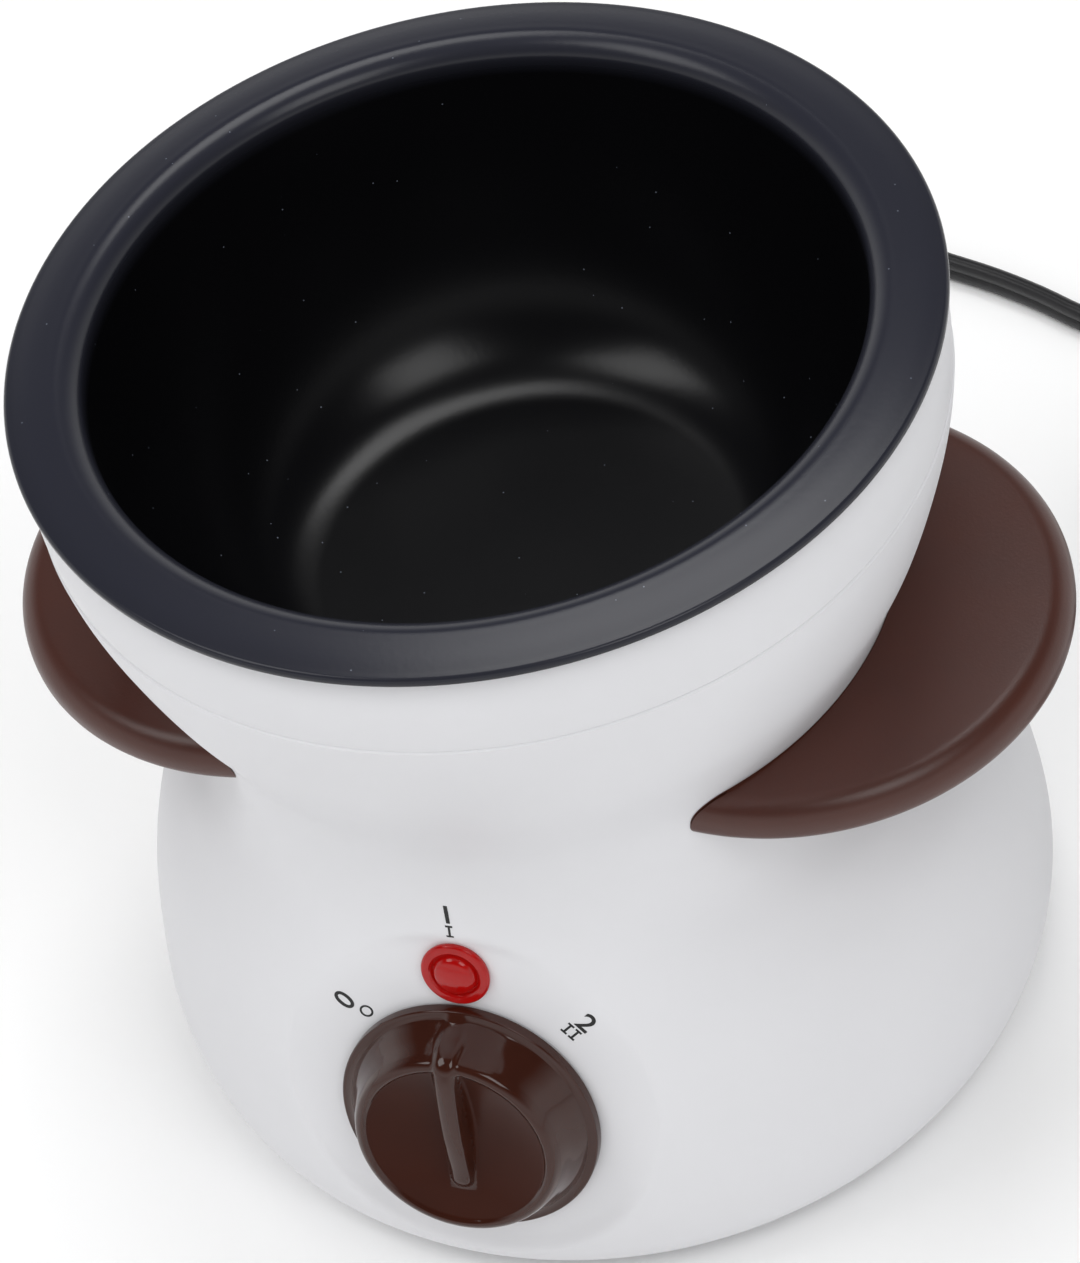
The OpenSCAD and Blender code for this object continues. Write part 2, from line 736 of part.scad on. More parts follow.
// Side view of the grip, as [height up the panel, height out of it]: over the lip and down into the dish
module fin_side_2d() {
    crest = knob_h + fin_rise;
    low = knob_h - knob_dish - knob_wall / 2;
    polygon([[knob_side_r, knob_body_z - knob_wall / 4], [knob_side_r, knob_body_z + knob_wall / 2],
             [knob_lip_r + fin_rise, knob_h - knob_wall / 2], [knob_lip_r - fin_rise, crest - fin_rise / 4],
             [knob_lip_r * 0.6, crest], [knob_lip_r * 0.1, crest - fin_rise / 2],
             [-fin_foot * 0.6, knob_h - knob_dish / 4], [-fin_foot, knob_h - knob_dish * 0.8],
             [-fin_foot, low], [knob_lip_r - knob_wall, low]]);
}

module knob() {
    color("#4a2a20") on_panel() difference() {
        union() {
            rotate_extrude() {
                knob_shell_2d();
                ring_2d(0, hub_r, knob_gap, knob_h - knob_dish - knob_wall / 2);
            }
            rotate([90, 0, 90]) translate([0, 0, -fin_w / 2]) linear_extrude(fin_w) fin_side_2d();
        }
        cylinder(r = shaft_r + push_gap / 2, h = shaft_out + rest_gap);
    }
}

module switch_shaft() {
    color("#c9ccd0") on_panel() translate([0, 0, -wall - shaft_in])
        cylinder(r = shaft_r, h = wall + shaft_in + shaft_out);
}

module switch_body() {
    color("#e6e2d6") on_panel() difference() {
        union() {
            translate([-switch_w / 2, -switch_w / 2, -wall - switch_d]) cube([switch_w, switch_w, switch_d]);
            translate([0, 0, -wall - switch_d / 2]) cylinder(r = neck_r, h = wall + switch_d / 2);
        }
        translate([0, 0, -wall - shaft_in - rest_gap])
            cylinder(r = shaft_r + shaft_gap, h = wall + shaft_in + rest_gap + over);
        for (x = [-switch_screw_x, switch_screw_x]) translate([x, 0, -wall - switch_d * 0.5])
            cylinder(r = screw_r + screw_gap, h = switch_d * 0.5 + over);
    }
}

module switch_terminals() {
    color("#c8a24c") on_panel() for (x = [-blade_step, 0, blade_step])
        translate([x - blade_t / 2, -blade_w / 2, -wall - switch_d - blade_l])
            cube([blade_t, blade_w, blade_l]);
}

panel_screw_head_h = 0.4;

module switch_screws() {
    color("#c9ccd0") on_panel() for (x = [-switch_screw_x, switch_screw_x]) translate([x, 0, 0]) {
        translate([0, 0, -wall - switch_d * 0.4]) cylinder(r = screw_r, h = wall + switch_d * 0.4);
        cylinder(r = screw_head_r, h = panel_screw_head_h);
    }
}

// Section of the lens: a hollow stem, a flange, a groove and a low dome
lens_shares = [[1, 0.33], [0.9, 0.55], [0.74, 0.55], [0.68, 0.25], [0.6, 0.25], [0.55, 0.55],
               [0.35, 0.9], [0, 1]];
lens_bore_r = bulb_r + rest_gap;

module lamp_lens() {
    color([0.85, 0.05, 0.04, 0.8]) on_panel() translate([0, lens_up, 0]) rotate_extrude() polygon(concat(
        [[0, -over], [lens_bore_r, -over], [lens_bore_r, -lens_stem_l], [lens_stem_r, -lens_stem_l],
         [lens_stem_r, 0], [lens_r, 0]],
        [for (s = lens_shares) [s[0] * lens_r, s[1] * lens_h]]));
}

module lamp_bulb() {
    color([1, 0.8, 0.6, 0.6]) on_panel() translate([0, lens_up, -over - rest_gap - bulb_l])
        rotate_extrude() polygon(concat(
            [[0, 0], [bulb_r, 0]], arc([0, bulb_l - bulb_r], bulb_r, 0, 90, bend_steps)));
}

module lamp_push_ring() {
    color("#9a9da1") on_panel() translate([0, lens_up, -wall - push_ring_t]) difference() {
        cylinder(r = push_ring_r, h = push_ring_t);
        translate([0, 0, -over]) cylinder(r = lens_stem_r + push_gap / 2, h = push_ring_t + 2 * over);
    }
}

csk_h = 1.6;
saddle_h = exit_z - cord_w / 2 - plate_z;
clamp_post_h = exit_z + cord_w / 2 - plate_z;
clamp_half_w = clamp_screw_x + spacer_r;

module base_plate() {
    color("#e9e9ea") difference() {
        union() {
            translate([0, 0, base_z]) cylinder(r = base_inner_r - plate_gap, h = plate_t);
            translate([-clamp_half_w, clamp_y - clamp_d / 2, plate_z - over / 2])
                cube([2 * clamp_half_w, clamp_d, saddle_h + over / 2]);
            for (x = [-clamp_screw_x, clamp_screw_x]) translate([x, clamp_y, plate_z])
                cylinder(r = spacer_r, h = clamp_post_h);
        }
        for (a = base_screw_angles) rotate([0, 0, a]) translate([base_screw_at, 0, base_z]) {
            translate([0, 0, -over]) cylinder(r = screw_r + screw_gap, h = plate_t + 2 * over);
            cylinder(r1 = screw_head_r + screw_gap, r2 = screw_r + screw_gap, h = csk_h);
        }
        for (a = foot_angles) rotate([0, 0, a]) translate([foot_at, 0, base_z - over])
            cylinder(r = foot_r, h = foot_in + over);
        for (i = [0 : slot_n - 1]) translate([0, -slot_at - i * slot_step, base_z - over]) {
            translate([-slot_l / 2, -slot_w / 2, 0]) cube([slot_l, slot_w, plate_t + 2 * over]);
            for (x = [-slot_l / 2, slot_l / 2]) translate([x, 0, 0])
                cylinder(r = slot_w / 2, h = plate_t + 2 * over);
        }
        for (x = [-clamp_screw_x, clamp_screw_x]) translate([x, clamp_y, plate_z])
            cylinder(r = screw_r + screw_gap, h = clamp_post_h + over);
    }
}

module base_screws() {
    color("#c9ccd0") for (a = base_screw_angles) rotate([0, 0, a]) translate([base_screw_at, 0, base_z]) {
        cylinder(r1 = screw_head_r, r2 = screw_r, h = csk_h);
        cylinder(r = screw_r, h = plate_t + boss_h * 0.7);
    }
}

module rubber_feet() {
    color("#2b2b2d") for (a = foot_angles) rotate([0, 0, a]) translate([foot_at, 0, 0]) {
        cylinder(r1 = foot_r * 0.9, r2 = foot_r, h = base_z);
        translate([0, 0, base_z]) cylinder(r = foot_r - push_gap, h = foot_in);
    }
}

block_w = pole_n * pole_step;
pole_places = [for (i = [0 : pole_n - 1]) (i - (pole_n - 1) / 2) * pole_step];
pole_z = plate_z + block_h * 0.45;
well_depth = block_h * 0.35;
pole_screw_share = 0.25;

module pole_screw_places() {
    for (x = pole_places, y = [-block_d * pole_screw_share, block_d * pole_screw_share])
        translate([x, block_y + y, plate_z + block_h - well_depth]) children();
}

module terminal_block() {
    color("#efece2") difference() {
        translate([-block_w / 2, block_y - block_d / 2, plate_z]) cube([block_w, block_d, block_h]);
        for (x = pole_places) translate([x, block_y - block_d / 2 - over, pole_z]) rotate([-90, 0, 0])
            cylinder(r = pole_bore_r, h = block_d + 2 * over);
        pole_screw_places() cylinder(r = screw_head_r * 0.8, h = well_depth + over);
    }
}

module terminal_screws() {
    color("#c9ccd0") pole_screw_places() cylinder(r = screw_head_r * 0.7, h = well_depth * 0.6);
}

// Outer radius of the housing at a height, and the two faces that the bushing grips there
function wall_r(z) = lookup(z, [for (p = body_curve) [p[1], p[0]]]);
gland_in_y = wall_r(exit_z - gland_flange_r) - wall - rest_gap;
gland_out_y = wall_r(exit_z + gland_flange_r) + push_gap;

module cord_gland() {
    color("#1c1c1e") translate([0, 0, exit_z]) rotate([-90, 0, 0]) rotate_extrude()
        polygon([[0, gland_in_y - gland_flange_t], [gland_flange_r, gland_in_y - gland_flange_t],
                 [gland_flange_r, gland_in_y], [gland_r, gland_in_y],
                 [gland_r, gland_out_y], [gland_flange_r, gland_out_y],
                 [gland_flange_r, gland_out_y + gland_flange_t * 0.7],
                 [gland_r, gland_out_y + gland_flange_t],
                 [gland_tip_r, gland_end_y], [0, gland_end_y]]);
}

clamp_z = plate_z + clamp_post_h;

module cord_clamp() {
    color("#e9e9ea") difference() {
        translate([-clamp_half_w, clamp_y - clamp_d / 2, clamp_z])
            cube([2 * clamp_half_w, clamp_d, clamp_t]);
        for (x = [-clamp_screw_x, clamp_screw_x]) translate([x, clamp_y, clamp_z - over])
            cylinder(r = screw_r + screw_gap, h = clamp_t + 2 * over);
    }
}

module cord_clamp_screws() {
    shank_l = clamp_t + clamp_post_h * 0.8;
    color("#c9ccd0") for (x = [-clamp_screw_x, clamp_screw_x]) translate([x, clamp_y, clamp_z + clamp_t]) {
        cylinder(r = screw_head_r, h = screw_head_h);
        translate([0, 0, -shank_l]) cylinder(r = screw_r, h = shank_l);
    }
}

// A closed tube along the points p, with half axes half_x across and half_z up its section.
// Its end faces stand square to end_a and end_b. A steep tube measures across from steep_axis.
steep_axis = [0.6, 0.8, 0];
function unit(v) = v / norm(v);
function along(p, i, end_a, end_b) =
    i == 0 ? end_a : i == len(p) - 1 ? end_b : unit(unit(p[i] - p[i - 1]) + unit(p[i + 1] - p[i]));
function ring(c, t, half_x, half_z, sides, steep) =
    let (s = unit(cross(t, steep ? steep_axis : [0, 0, 1])), u = cross(s, t))
    [for (k = [0 : sides - 1]) let (a = (360 * k + 180) / sides)
        c + s * half_x * cos(a) + u * half_z * sin(a)];

module tube(p, half_x, half_z, sides, end_a, end_b, steep = false) {
    last = len(p) - 1;
    points = [for (i = [0 : last]) each ring(p[i], along(p, i, end_a, end_b), half_x, half_z, sides, steep)];
    walls = [for (i = [0 : last - 1], k = [0 : sides - 1])
        let (a = i * sides + k, b = i * sides + (k + 1) % sides)
        each [[a, a + sides, b], [b, a + sides, b + sides]]];
    start = [for (k = [1 : sides - 2]) [0, k, k + 1]];
    end = [for (k = [1 : sides - 2]) [last * sides, last * sides + k + 1, last * sides + k]];
    polyhedron(points, concat(walls, start, end));
}

// Routes of the wires, each end written from what it meets: block, clamp, switch, heater or lamp
function from(place, route) = [for (p = route) place + p];
block_front = [0, block_y - block_d / 2, pole_z];
block_back = [0, block_y + block_d / 2, pole_z];
lead_in_y = clamp_y - clamp_d;
switch_back = [0, -panel_y, panel_z] - (wall + switch_d + blade_l) * panel_out;
lamp_back = [0, -panel_y, panel_z] + lens_up * panel_up - lens_stem_l * panel_out;
heater_under = [0, 0, clamp_plate_z];

core_route = concat(
    from(block_back, [[pole_step, -3.5, 0], [pole_step, 2.5, 0]]),
    from([0, lead_in_y, exit_z], [[6.5, -7, -2], [3.5, -3.5, -0.8], [1.3, -0.4, 0]]));
live_route = concat(
    from(block_front, [[pole_step, 2.5, 0], [pole_step, -4.5, 0], [9, -12.5, 1.5]]),
    from(switch_back, [[12, 37.4, -16], [12, 25.4, -11], [10, 14.4, -5], [7.5, 6.4, -1.5],
                       [blade_step, 0, 0]]));
heater_route = concat(
    from(switch_back, [[0, 0, 0], [0, 6.4, -1.5], [6, 14.4, 7.2], [18, 11.4, 19.2], [33, 6.4, 29.2]]),
    from(heater_under, [[39, -31, -15.4], [38, -28, -10.4], [34, -24, -6.4], [27, -21.5, -5.4],
                        [18, -19, -6.4], [11, -17, -7.4], [thermostat_at, -11.8, -7.8]]));
neutral_route = concat(
    from(block_front, [[-pole_step, 2.5, 0], [-pole_step, -4.5, 0], [-12, -12.5, 4.5], [-24, -18.5, 18.5]]),
    from(heater_under, [[-38, -2, -41.4], [-46, -2, -27.4], [-48.5, 0, -16.4], [-47.5, 2, -9.4],
                        [-40, 5, -5.4], [-30, 10, -3.9], [-20, 15, -2.4], [-fuse_at, 11.6, -1.8]]));
link_route = from(heater_under, [[thermostat_at, 11.8, -7.8], [8, 16, -7.4], [0, 16, -5.9], [-6, 9, -4.4],
                  [-7, 0, -3.9], [-8, -8, -2.9], [-11, -15, -2], [-fuse_at, -11.6, -1.8]]);
lamp_route = concat(
    from(lamp_back, [[1, 1.8, 0.4], [1.6, 4.2, -0.7], [2.4, 7.2, -4.7], [4, 8.7, -11.7]]),
    from(switch_back, [[5.6, 0, 9.2], [blade_step, -2.4, 3.7]]));
cord_route = [[0, 97, 12], [0, 104, 11.5], [-1.5, 112, 9], [-5, 120, 6], [-9.5, 128, 4], [-12.5, 136, 3],
              [-12, 144, 3], [-8, 151, 3], [-2, 156.5, 3], [5.5, 160, 3], [13, 161.5, 3], [21, 160, 3],
              [30, 156, 3], [39, 152, 3], [48, 148.5, 3], [58, 145.5, 3], [68, 143.5, 3], [78, 142.5, 3.5],
              [88, 142, 4], [97, 142, 4]];

module supply_lead() {
    step = (cord_w - cord_t) / 2;
    color("#161618") translate([0, lead_in_y, exit_z]) rotate([-90, 0, 0])
        linear_extrude(gland_in_y - gland_flange_t - lead_in_y) union() {
            translate([-cord_t / 2, -step]) square([cord_t, 2 * step]);
            for (y = [-step, step]) translate([0, y]) circle(r = cord_t / 2);
        }
}

module supply_cores() {
    color("#6b4a34") for (side = [1, -1])
        tube([for (p = core_route) [side * p[0], p[1], p[2]]], wire_r, wire_r, 8, [0, 1, 0], [0, 1, 0]);
}

module wire_live() {
    color("#7a4a2a") tube(live_route, wire_r, wire_r, 8, [0, -1, 0], -panel_out);
}

module wire_heater() {
    color("#c23a2a") tube(heater_route, wire_r, wire_r, 8, -panel_out, [0, 1, 0], true);
}

module wire_neutral() {
    color("#2f5fa8") tube(neutral_route, wire_r, wire_r, 8, [0, -1, 0], [0, -1, 0], true);
}

module link_wire() {
    color("#d8d3c4") tube(link_route, wire_r, wire_r, 8, [0, 1, 0], [0, 1, 0], true);
}

module lamp_leads() {
    color("#d9d9d6") for (side = [1, -1])
        tube([for (p = lamp_route) [side * p[0], p[1], p[2]]],
             fuse_lead_r, fuse_lead_r, 6, -panel_out, -panel_up, true);
}

cord_last = cord_route[len(cord_route) - 1];
module power_cord() {
    color("#161618") tube(cord_route, cord_t / 2, cord_w / 2, 10, [0, 1, 0], [1, 0, 0]);
}

// The coil: it winds in on the lower layer, climbs while it turns back, and winds out on the upper one
coil_loops = 4.25;
coil_rings = 24;
coil_turn_back = 2;
climb_half = 0.25;
coil_middle = cord_last - [-cord_w, coil_r, 0];
function eased(t) = t <= 0 ? 0 : t >= 1 ? 1 : t * t * (3 - 2 * t);
function coil_point(n) = let (
    r = coil_r - coil_step * (coil_turn_back - abs(n - coil_turn_back)),
    z = coil_layer * eased((n - coil_turn_back + climb_half) / (2 * climb_half)),
    a = 90 - 360 * n) coil_middle + [r * cos(a), r * sin(a), z];
coil_curve = [for (i = [0 : coil_loops * coil_rings]) coil_point(i / coil_rings)];
coil_out = coil_curve[len(coil_curve) - 1];
plug_rear = [coil_out[0], coil_out[1] - coil_lead_l, plug_t / 2];
lead_shares = [0.3, 0.6];
coil_lead = [for (t = lead_shares)
    coil_out + [0, (cord_w - coil_lead_l) * t, (plug_rear[2] - coil_out[2]) * eased(t)]];
coil_path = concat([cord_last], coil_curve, coil_lead, [plug_rear + [0, cord_w, 0], plug_rear]);

module cord_coil() {
    color("#161618") tube(coil_path, cord_t / 2, cord_w / 2, 6, [1, 0, 0], [0, -1, 0]);
}

// Least gap between turns, measured on the rings' points that are over a quarter turn apart
coil_skin = [for (i = [0 : len(coil_curve) - 1])
    ring(coil_curve[i], along(coil_curve, i, [1, 0, 0], [0, -1, 0]), cord_t / 2, cord_w / 2, 6, false)];
coil_gap = min([for (i = [0 : len(coil_curve) - 1], j = [i + coil_rings / 2 : len(coil_curve) - 1])
    if (norm(coil_curve[i] - coil_curve[j]) < 2 * cord_w)
        min([for (p = coil_skin[i], q = coil_skin[j]) norm(p - q)])]);
function path_length(p, i = 1) = i == len(p) ? 0 : norm(p[i] - p[i - 1]) + path_length(p, i + 1);
echo(coil_gap = coil_gap, cord_length = path_length(cord_route) + path_length(coil_path));

tie_angle = 200;
module cord_tie() {
    inner_r = coil_r - coil_turn_back * coil_step - cord_t / 2 - rest_gap;
    outer_r = coil_r + cord_t / 2 + coil_step * (coil_loops - 2 * coil_turn_back) + rest_gap;
    low = coil_middle[2] - cord_w / 2 - rest_gap;
    high = coil_middle[2] + coil_layer + cord_w / 2 + rest_gap;
    color("#2a2a2c") translate([coil_middle[0], coil_middle[1], 0]) rotate([0, 0, tie_angle]) difference() {
        translate([inner_r - tie_t, -tie_w / 2, low - tie_t])
            cube([outer_r - inner_r + 2 * tie_t, tie_w, high - low + 2 * tie_t]);
        translate([inner_r, -tie_w / 2 - over, low]) cube([outer_r - inner_r, tie_w + 2 * over, high - low]);
    }
}

plug_tail_r = 4.6;
pin_core_r = pin_r * 0.6;
pin_sleeve_r = pin_r * 0.85;
pin_places = [-pin_step / 2, pin_step / 2];

module on_plug() {
    translate(plug_rear - [0, plug_tail_l + plug_l, 0]) rotate([90, 0, 0]) children();
}

// The plug's outline seen from above, narrow at the rear, and its side view with rounded edges at the face
module plug_block() {
    half = plug_w / 2;
    rear = plug_rear_w / 2;
    intersection() {
        translate([0, plug_t / 2, -plug_l]) rotate([90, 0, 0]) linear_extrude(plug_t)
            polygon([[-rear, 0], [rear, 0], [half, plug_l - plug_face_l], [half, plug_l],
                     [-half, plug_l], [-half, plug_l - plug_face_l]]);
        rotate([0, 90, 0]) translate([0, 0, -half - over]) linear_extrude(plug_w + 2 * over)
            polygon([[0, plug_bend - plug_t / 2], [plug_bend, -plug_t / 2], [plug_l, -plug_t / 2],
                     [plug_l, plug_t / 2], [plug_bend, plug_t / 2], [0, plug_t / 2 - plug_bend]]);
    }
}

module plug_body() {
    core_bore_r = pin_core_r + push_gap / 2;
    color("#18181a") on_plug() difference() {
        union() {
            plug_block();
            translate([0, 0, -plug_l - plug_tail_l])
                cylinder(r1 = gland_tip_r, r2 = plug_tail_r, h = plug_tail_l + over);
            for (x = pin_places) translate([x, 0, -over])
                cylinder(r = pin_sleeve_r, h = pin_sleeve_l + over);
        }
        for (x = pin_places) translate([x, 0, -plug_l / 3])
            cylinder(r = core_bore_r, h = plug_l / 3 + pin_sleeve_l + over);
    }
}

// A contact pin: a thin core in the insulating sleeve, then the bare round part with its domed tip
module plug_pins() {
    color("#c9ccd0") on_plug() for (x = pin_places) translate([x, 0, 0]) rotate_extrude() polygon(concat(
        [[0, -plug_l / 4], [pin_core_r, -plug_l / 4], [pin_core_r, pin_sleeve_l], [pin_r, pin_sleeve_l]],
        arc([0, pin_l - pin_r], pin_r, 0, 90, bend_steps)));
}

housing();
collar_ring();
pot();
inner_well();
heater_plate();
mica_sheets();
heating_element();
element_clamp();
heater_screws();
shield_spacers();
heat_shield();
thermostat();
thermal_fuse();
handle_left();
handle_right();
handle_screws();
knob();
switch_shaft();
switch_body();
switch_terminals();
switch_screws();
lamp_lens();
lamp_bulb();
lamp_push_ring();
base_plate();
base_screws();
rubber_feet();
terminal_block();
terminal_screws();
cord_gland();
cord_clamp();
cord_clamp_screws();
supply_lead();
supply_cores();
wire_live();
wire_heater();
wire_neutral();
link_wire();
lamp_leads();
power_cord();
cord_coil();
cord_tie();
plug_body();
plug_pins();
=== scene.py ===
# %% [markdown]
# # A round electric fondue pot
#
# The pot is a dark coated bowl that sits in a white, waisted base with two brown wings, a tilted
# panel with a knob and a red lamp, and a flat black mains lead. This lesson dresses the packed
# model of it: every cell first says what a piece is on the real pot, how it could be made, and
# why this way was chosen. All pieces are in metres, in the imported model's own frame: +Z is up,
# the knob faces -Y, and the middle of the pot stands over the origin.

import math

import bmesh
import bpy
import numpy as np
from mathutils import Matrix, Vector
from mathutils.bvhtree import BVHTree


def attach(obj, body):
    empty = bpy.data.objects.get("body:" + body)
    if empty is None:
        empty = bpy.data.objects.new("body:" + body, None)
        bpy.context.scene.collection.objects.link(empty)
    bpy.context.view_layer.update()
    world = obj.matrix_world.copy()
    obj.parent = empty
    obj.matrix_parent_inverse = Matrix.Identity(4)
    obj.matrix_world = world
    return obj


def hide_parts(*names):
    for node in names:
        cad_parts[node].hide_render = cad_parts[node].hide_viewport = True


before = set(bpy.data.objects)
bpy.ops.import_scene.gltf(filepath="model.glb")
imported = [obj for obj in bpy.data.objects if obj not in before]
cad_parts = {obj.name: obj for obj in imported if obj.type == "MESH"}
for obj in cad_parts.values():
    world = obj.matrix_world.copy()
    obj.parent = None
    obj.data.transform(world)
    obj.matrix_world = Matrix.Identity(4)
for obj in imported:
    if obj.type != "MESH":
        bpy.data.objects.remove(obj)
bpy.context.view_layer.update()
MM = 0.001
scene = bpy.context.scene

# %% [markdown]
# ## The camera
#
# The photograph looks down on the pot from the front and a little from the right, with the camera
# rolled, so the pot leans to the left in the picture. A long lens keeps the rim's ellipse calm. The
# place was found by fitting the rim, the panel and the wings. It is built here from three angles
# and a point, because a reader can change one angle and see what it does.

# %% Camera
CAMERA_PLACE = Vector((0.22835, -0.45874, 0.62387))
CAMERA_YAW = math.radians(26.60)
CAMERA_DROP = math.radians(46.91)
CAMERA_ROLL = math.radians(14.07)
LENS_MM = 136.8
SENSOR_MM = 36


def linked(name, data):
    """A new object with that data, linked into the scene."""
    thing = bpy.data.objects.new(name, data)
    scene.collection.objects.link(thing)
    return thing


right = Vector((math.cos(CAMERA_YAW), math.sin(CAMERA_YAW), 0))
forward = Vector((-math.sin(CAMERA_YAW) * math.cos(CAMERA_DROP),
                  math.cos(CAMERA_YAW) * math.cos(CAMERA_DROP), -math.sin(CAMERA_DROP)))
upward = right.cross(forward)
camera_x = math.cos(CAMERA_ROLL) * right - math.sin(CAMERA_ROLL) * upward
camera_y = math.sin(CAMERA_ROLL) * right + math.cos(CAMERA_ROLL) * upward

camera_data = bpy.data.cameras.new("camera")
camera_data.lens = LENS_MM
camera_data.sensor_width = SENSOR_MM
camera = linked("camera", camera_data)
camera.matrix_world = Matrix.Translation(CAMERA_PLACE) @ Matrix(
    (camera_x, camera_y, -forward)).transposed().to_4x4()
scene.camera = camera
print("camera at", tuple(round(c, 3) for c in CAMERA_PLACE))

# %% [markdown]
# ## Lines and meshes
#
# Most of the pot is turned or swept: a section drawn in millimetres goes round an axis or along a
# path. A few helpers are enough. `smooth_line` puts a soft curve through a few points, `arc` draws
# a rounding, and `turned` sends a section round the axis; its poles close when double points merge.
# A mesh made this way has even quads, which catch light better than a solid modeller's triangles.

# %% Helpers for lines
def smooth_line(points, steps):
    """A Catmull-Rom curve through the points, with that many steps between two of them."""
    points = np.asarray(points, float)
    padded = np.vstack([points[:1], points, points[-1:]])
    t = (np.arange(steps) / steps)[:, None]
    spans = [0.5 * (2 * b + (c - a) * t + (2 * a - 5 * b + 4 * c - d) * t ** 2
                    + (3 * b - a - 3 * c + d) * t ** 3)
             for a, b, c, d in zip(padded, padded[1:], padded[2:], padded[3:])]
    return np.vstack(spans + [points[-1:]])


def arc(middle_r, middle_z, radius, start, end, steps=8):
    """Points of an arc in a section, from one angle to another, in degrees."""
    angles = np.radians(np.linspace(start, end, steps + 1))
    return np.column_stack([middle_r + radius * np.cos(angles), middle_z + radius * np.sin(angles)])


def section(*runs):
    """One section out of several runs of (radius, height) points, doubles left out."""
    points = np.vstack([np.atleast_2d(np.asarray(run, float)) for run in runs])
    keep = np.r_[True, np.linalg.norm(np.diff(points, axis=0), axis=1) > 1e-4]
    return points[keep]


# %% Helpers for meshes
def grid_faces(rows, columns, close_rows=False, close_columns=True):
    """Quads between rows of points; each row is a closed ring, unless close_columns is off."""
    return [(i * columns + j, i * columns + (j + 1) % columns,
             (i + 1) % rows * columns + (j + 1) % columns, (i + 1) % rows * columns + j)
            for i in range(rows if close_rows else rows - 1)
            for j in range(columns if close_columns else columns - 1)]


def ring_at(radius, z, angles):
    """Points of a ring; radius and height may change from point to point."""
    return np.column_stack([radius * np.cos(angles), radius * np.sin(angles), np.full(len(angles), z)])


def spun(profile, angles):
    """A section sent round the Z axis, with a column of points at each angle."""
    return np.vstack([ring_at(r, z, angles) for r, z in profile])


def turned(profile, columns=192, loop=False):
    """Turns a section round the Z axis. With loop the section closes on itself, as on a ring."""
    angles = np.linspace(0, 2 * np.pi, columns, endpoint=False)
    return spun(profile, angles), grid_faces(len(profile), columns, loop)


def mesh_of(name, points, faces):
    """A mesh from points in millimetres, doubles merged and its faces turned outwards."""
    mesh = bpy.data.meshes.new(name)
    mesh.from_pydata((np.asarray(points) * MM).tolist(), [], [tuple(map(int, f)) for f in faces])
    work = bmesh.new()
    work.from_mesh(mesh)
    bmesh.ops.remove_doubles(work, verts=work.verts, dist=1e-6)
    if work.calc_volume(signed=True) < 0:
        bmesh.ops.reverse_faces(work, faces=work.faces)
    work.to_mesh(mesh)
    work.free()
    return mesh


def show(name, shape, material, body, stands_for=(), sharp=35):
    """Shows a mesh, or points with faces, as a finished piece on its body, in place of its nodes."""
    mesh = shape if isinstance(shape, bpy.types.Mesh) else mesh_of(name, *shape)
    piece = linked(name, mesh)
    mesh.materials.clear()
    mesh.materials.append(material)
    mesh.shade_smooth()
    mesh.set_sharp_from_angle(angle=math.radians(sharp))
    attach(piece, body)
    if stands_for:
        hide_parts(*stands_for)
    print(f"{name}: {len(mesh.vertices)} points, {len(mesh.polygons)} faces, on {body}")
    return piece


# %% [markdown]
# ## Finishes
#
# Each finish starts from what the real material is and how its surface was made. Nearly all of
# them share one recipe: two close shades clouded together, a roughness that wanders a little, and
# a fine grain as bump. The patterns read Object coordinates, so their scales are real sizes in
# millimetres and nothing slides when a piece moves. A real moulded grain is finer than a pixel of
# this picture, so the grains of 0.3 to 0.9 mm are drawn coarser than life. Colours are written as
# sRGB hex and turned linear by one function.

# %% Helpers for materials
def linear(shade):
    """An sRGB hex colour as linear RGBA."""
    parts = [int(shade[i:i + 2], 16) / 255 for i in (0, 2, 4)]
    return [p / 12.92 if p <= 0.04045 else ((p + 0.055) / 1.055) ** 2.4 for p in parts] + [1]


def add_node(tree, kind, inputs=(), **settings):
    """Adds one node with its settings, and sets or links its inputs."""
    node = tree.nodes.new(kind)
    for name, value in settings.items():
        setattr(node, name, value)
    for socket, value in dict(inputs).items():
        if isinstance(value, bpy.types.NodeSocket):
            tree.links.new(value, node.inputs[socket])
        else:
            node.inputs[socket].default_value = value
    return node


def socket_names(values):
    """Keyword arguments as socket names, with blanks where the keywords have underscores."""
    return {label.replace("_", " "): value for label, value in values.items()}


def maths(tree, operation, *values, **settings):
    """The result of one math node."""
    return add_node(tree, "ShaderNodeMath", enumerate(values), operation=operation, **settings).outputs[0]


def colour_mix(tree, share, first, second):
    """Two colours mixed by a share; the node's sockets 6 and 7 and its output 2 are its colours."""
    return add_node(tree, "ShaderNodeMix", {0: share, 6: first, 7: second}, data_type="RGBA").outputs[2]


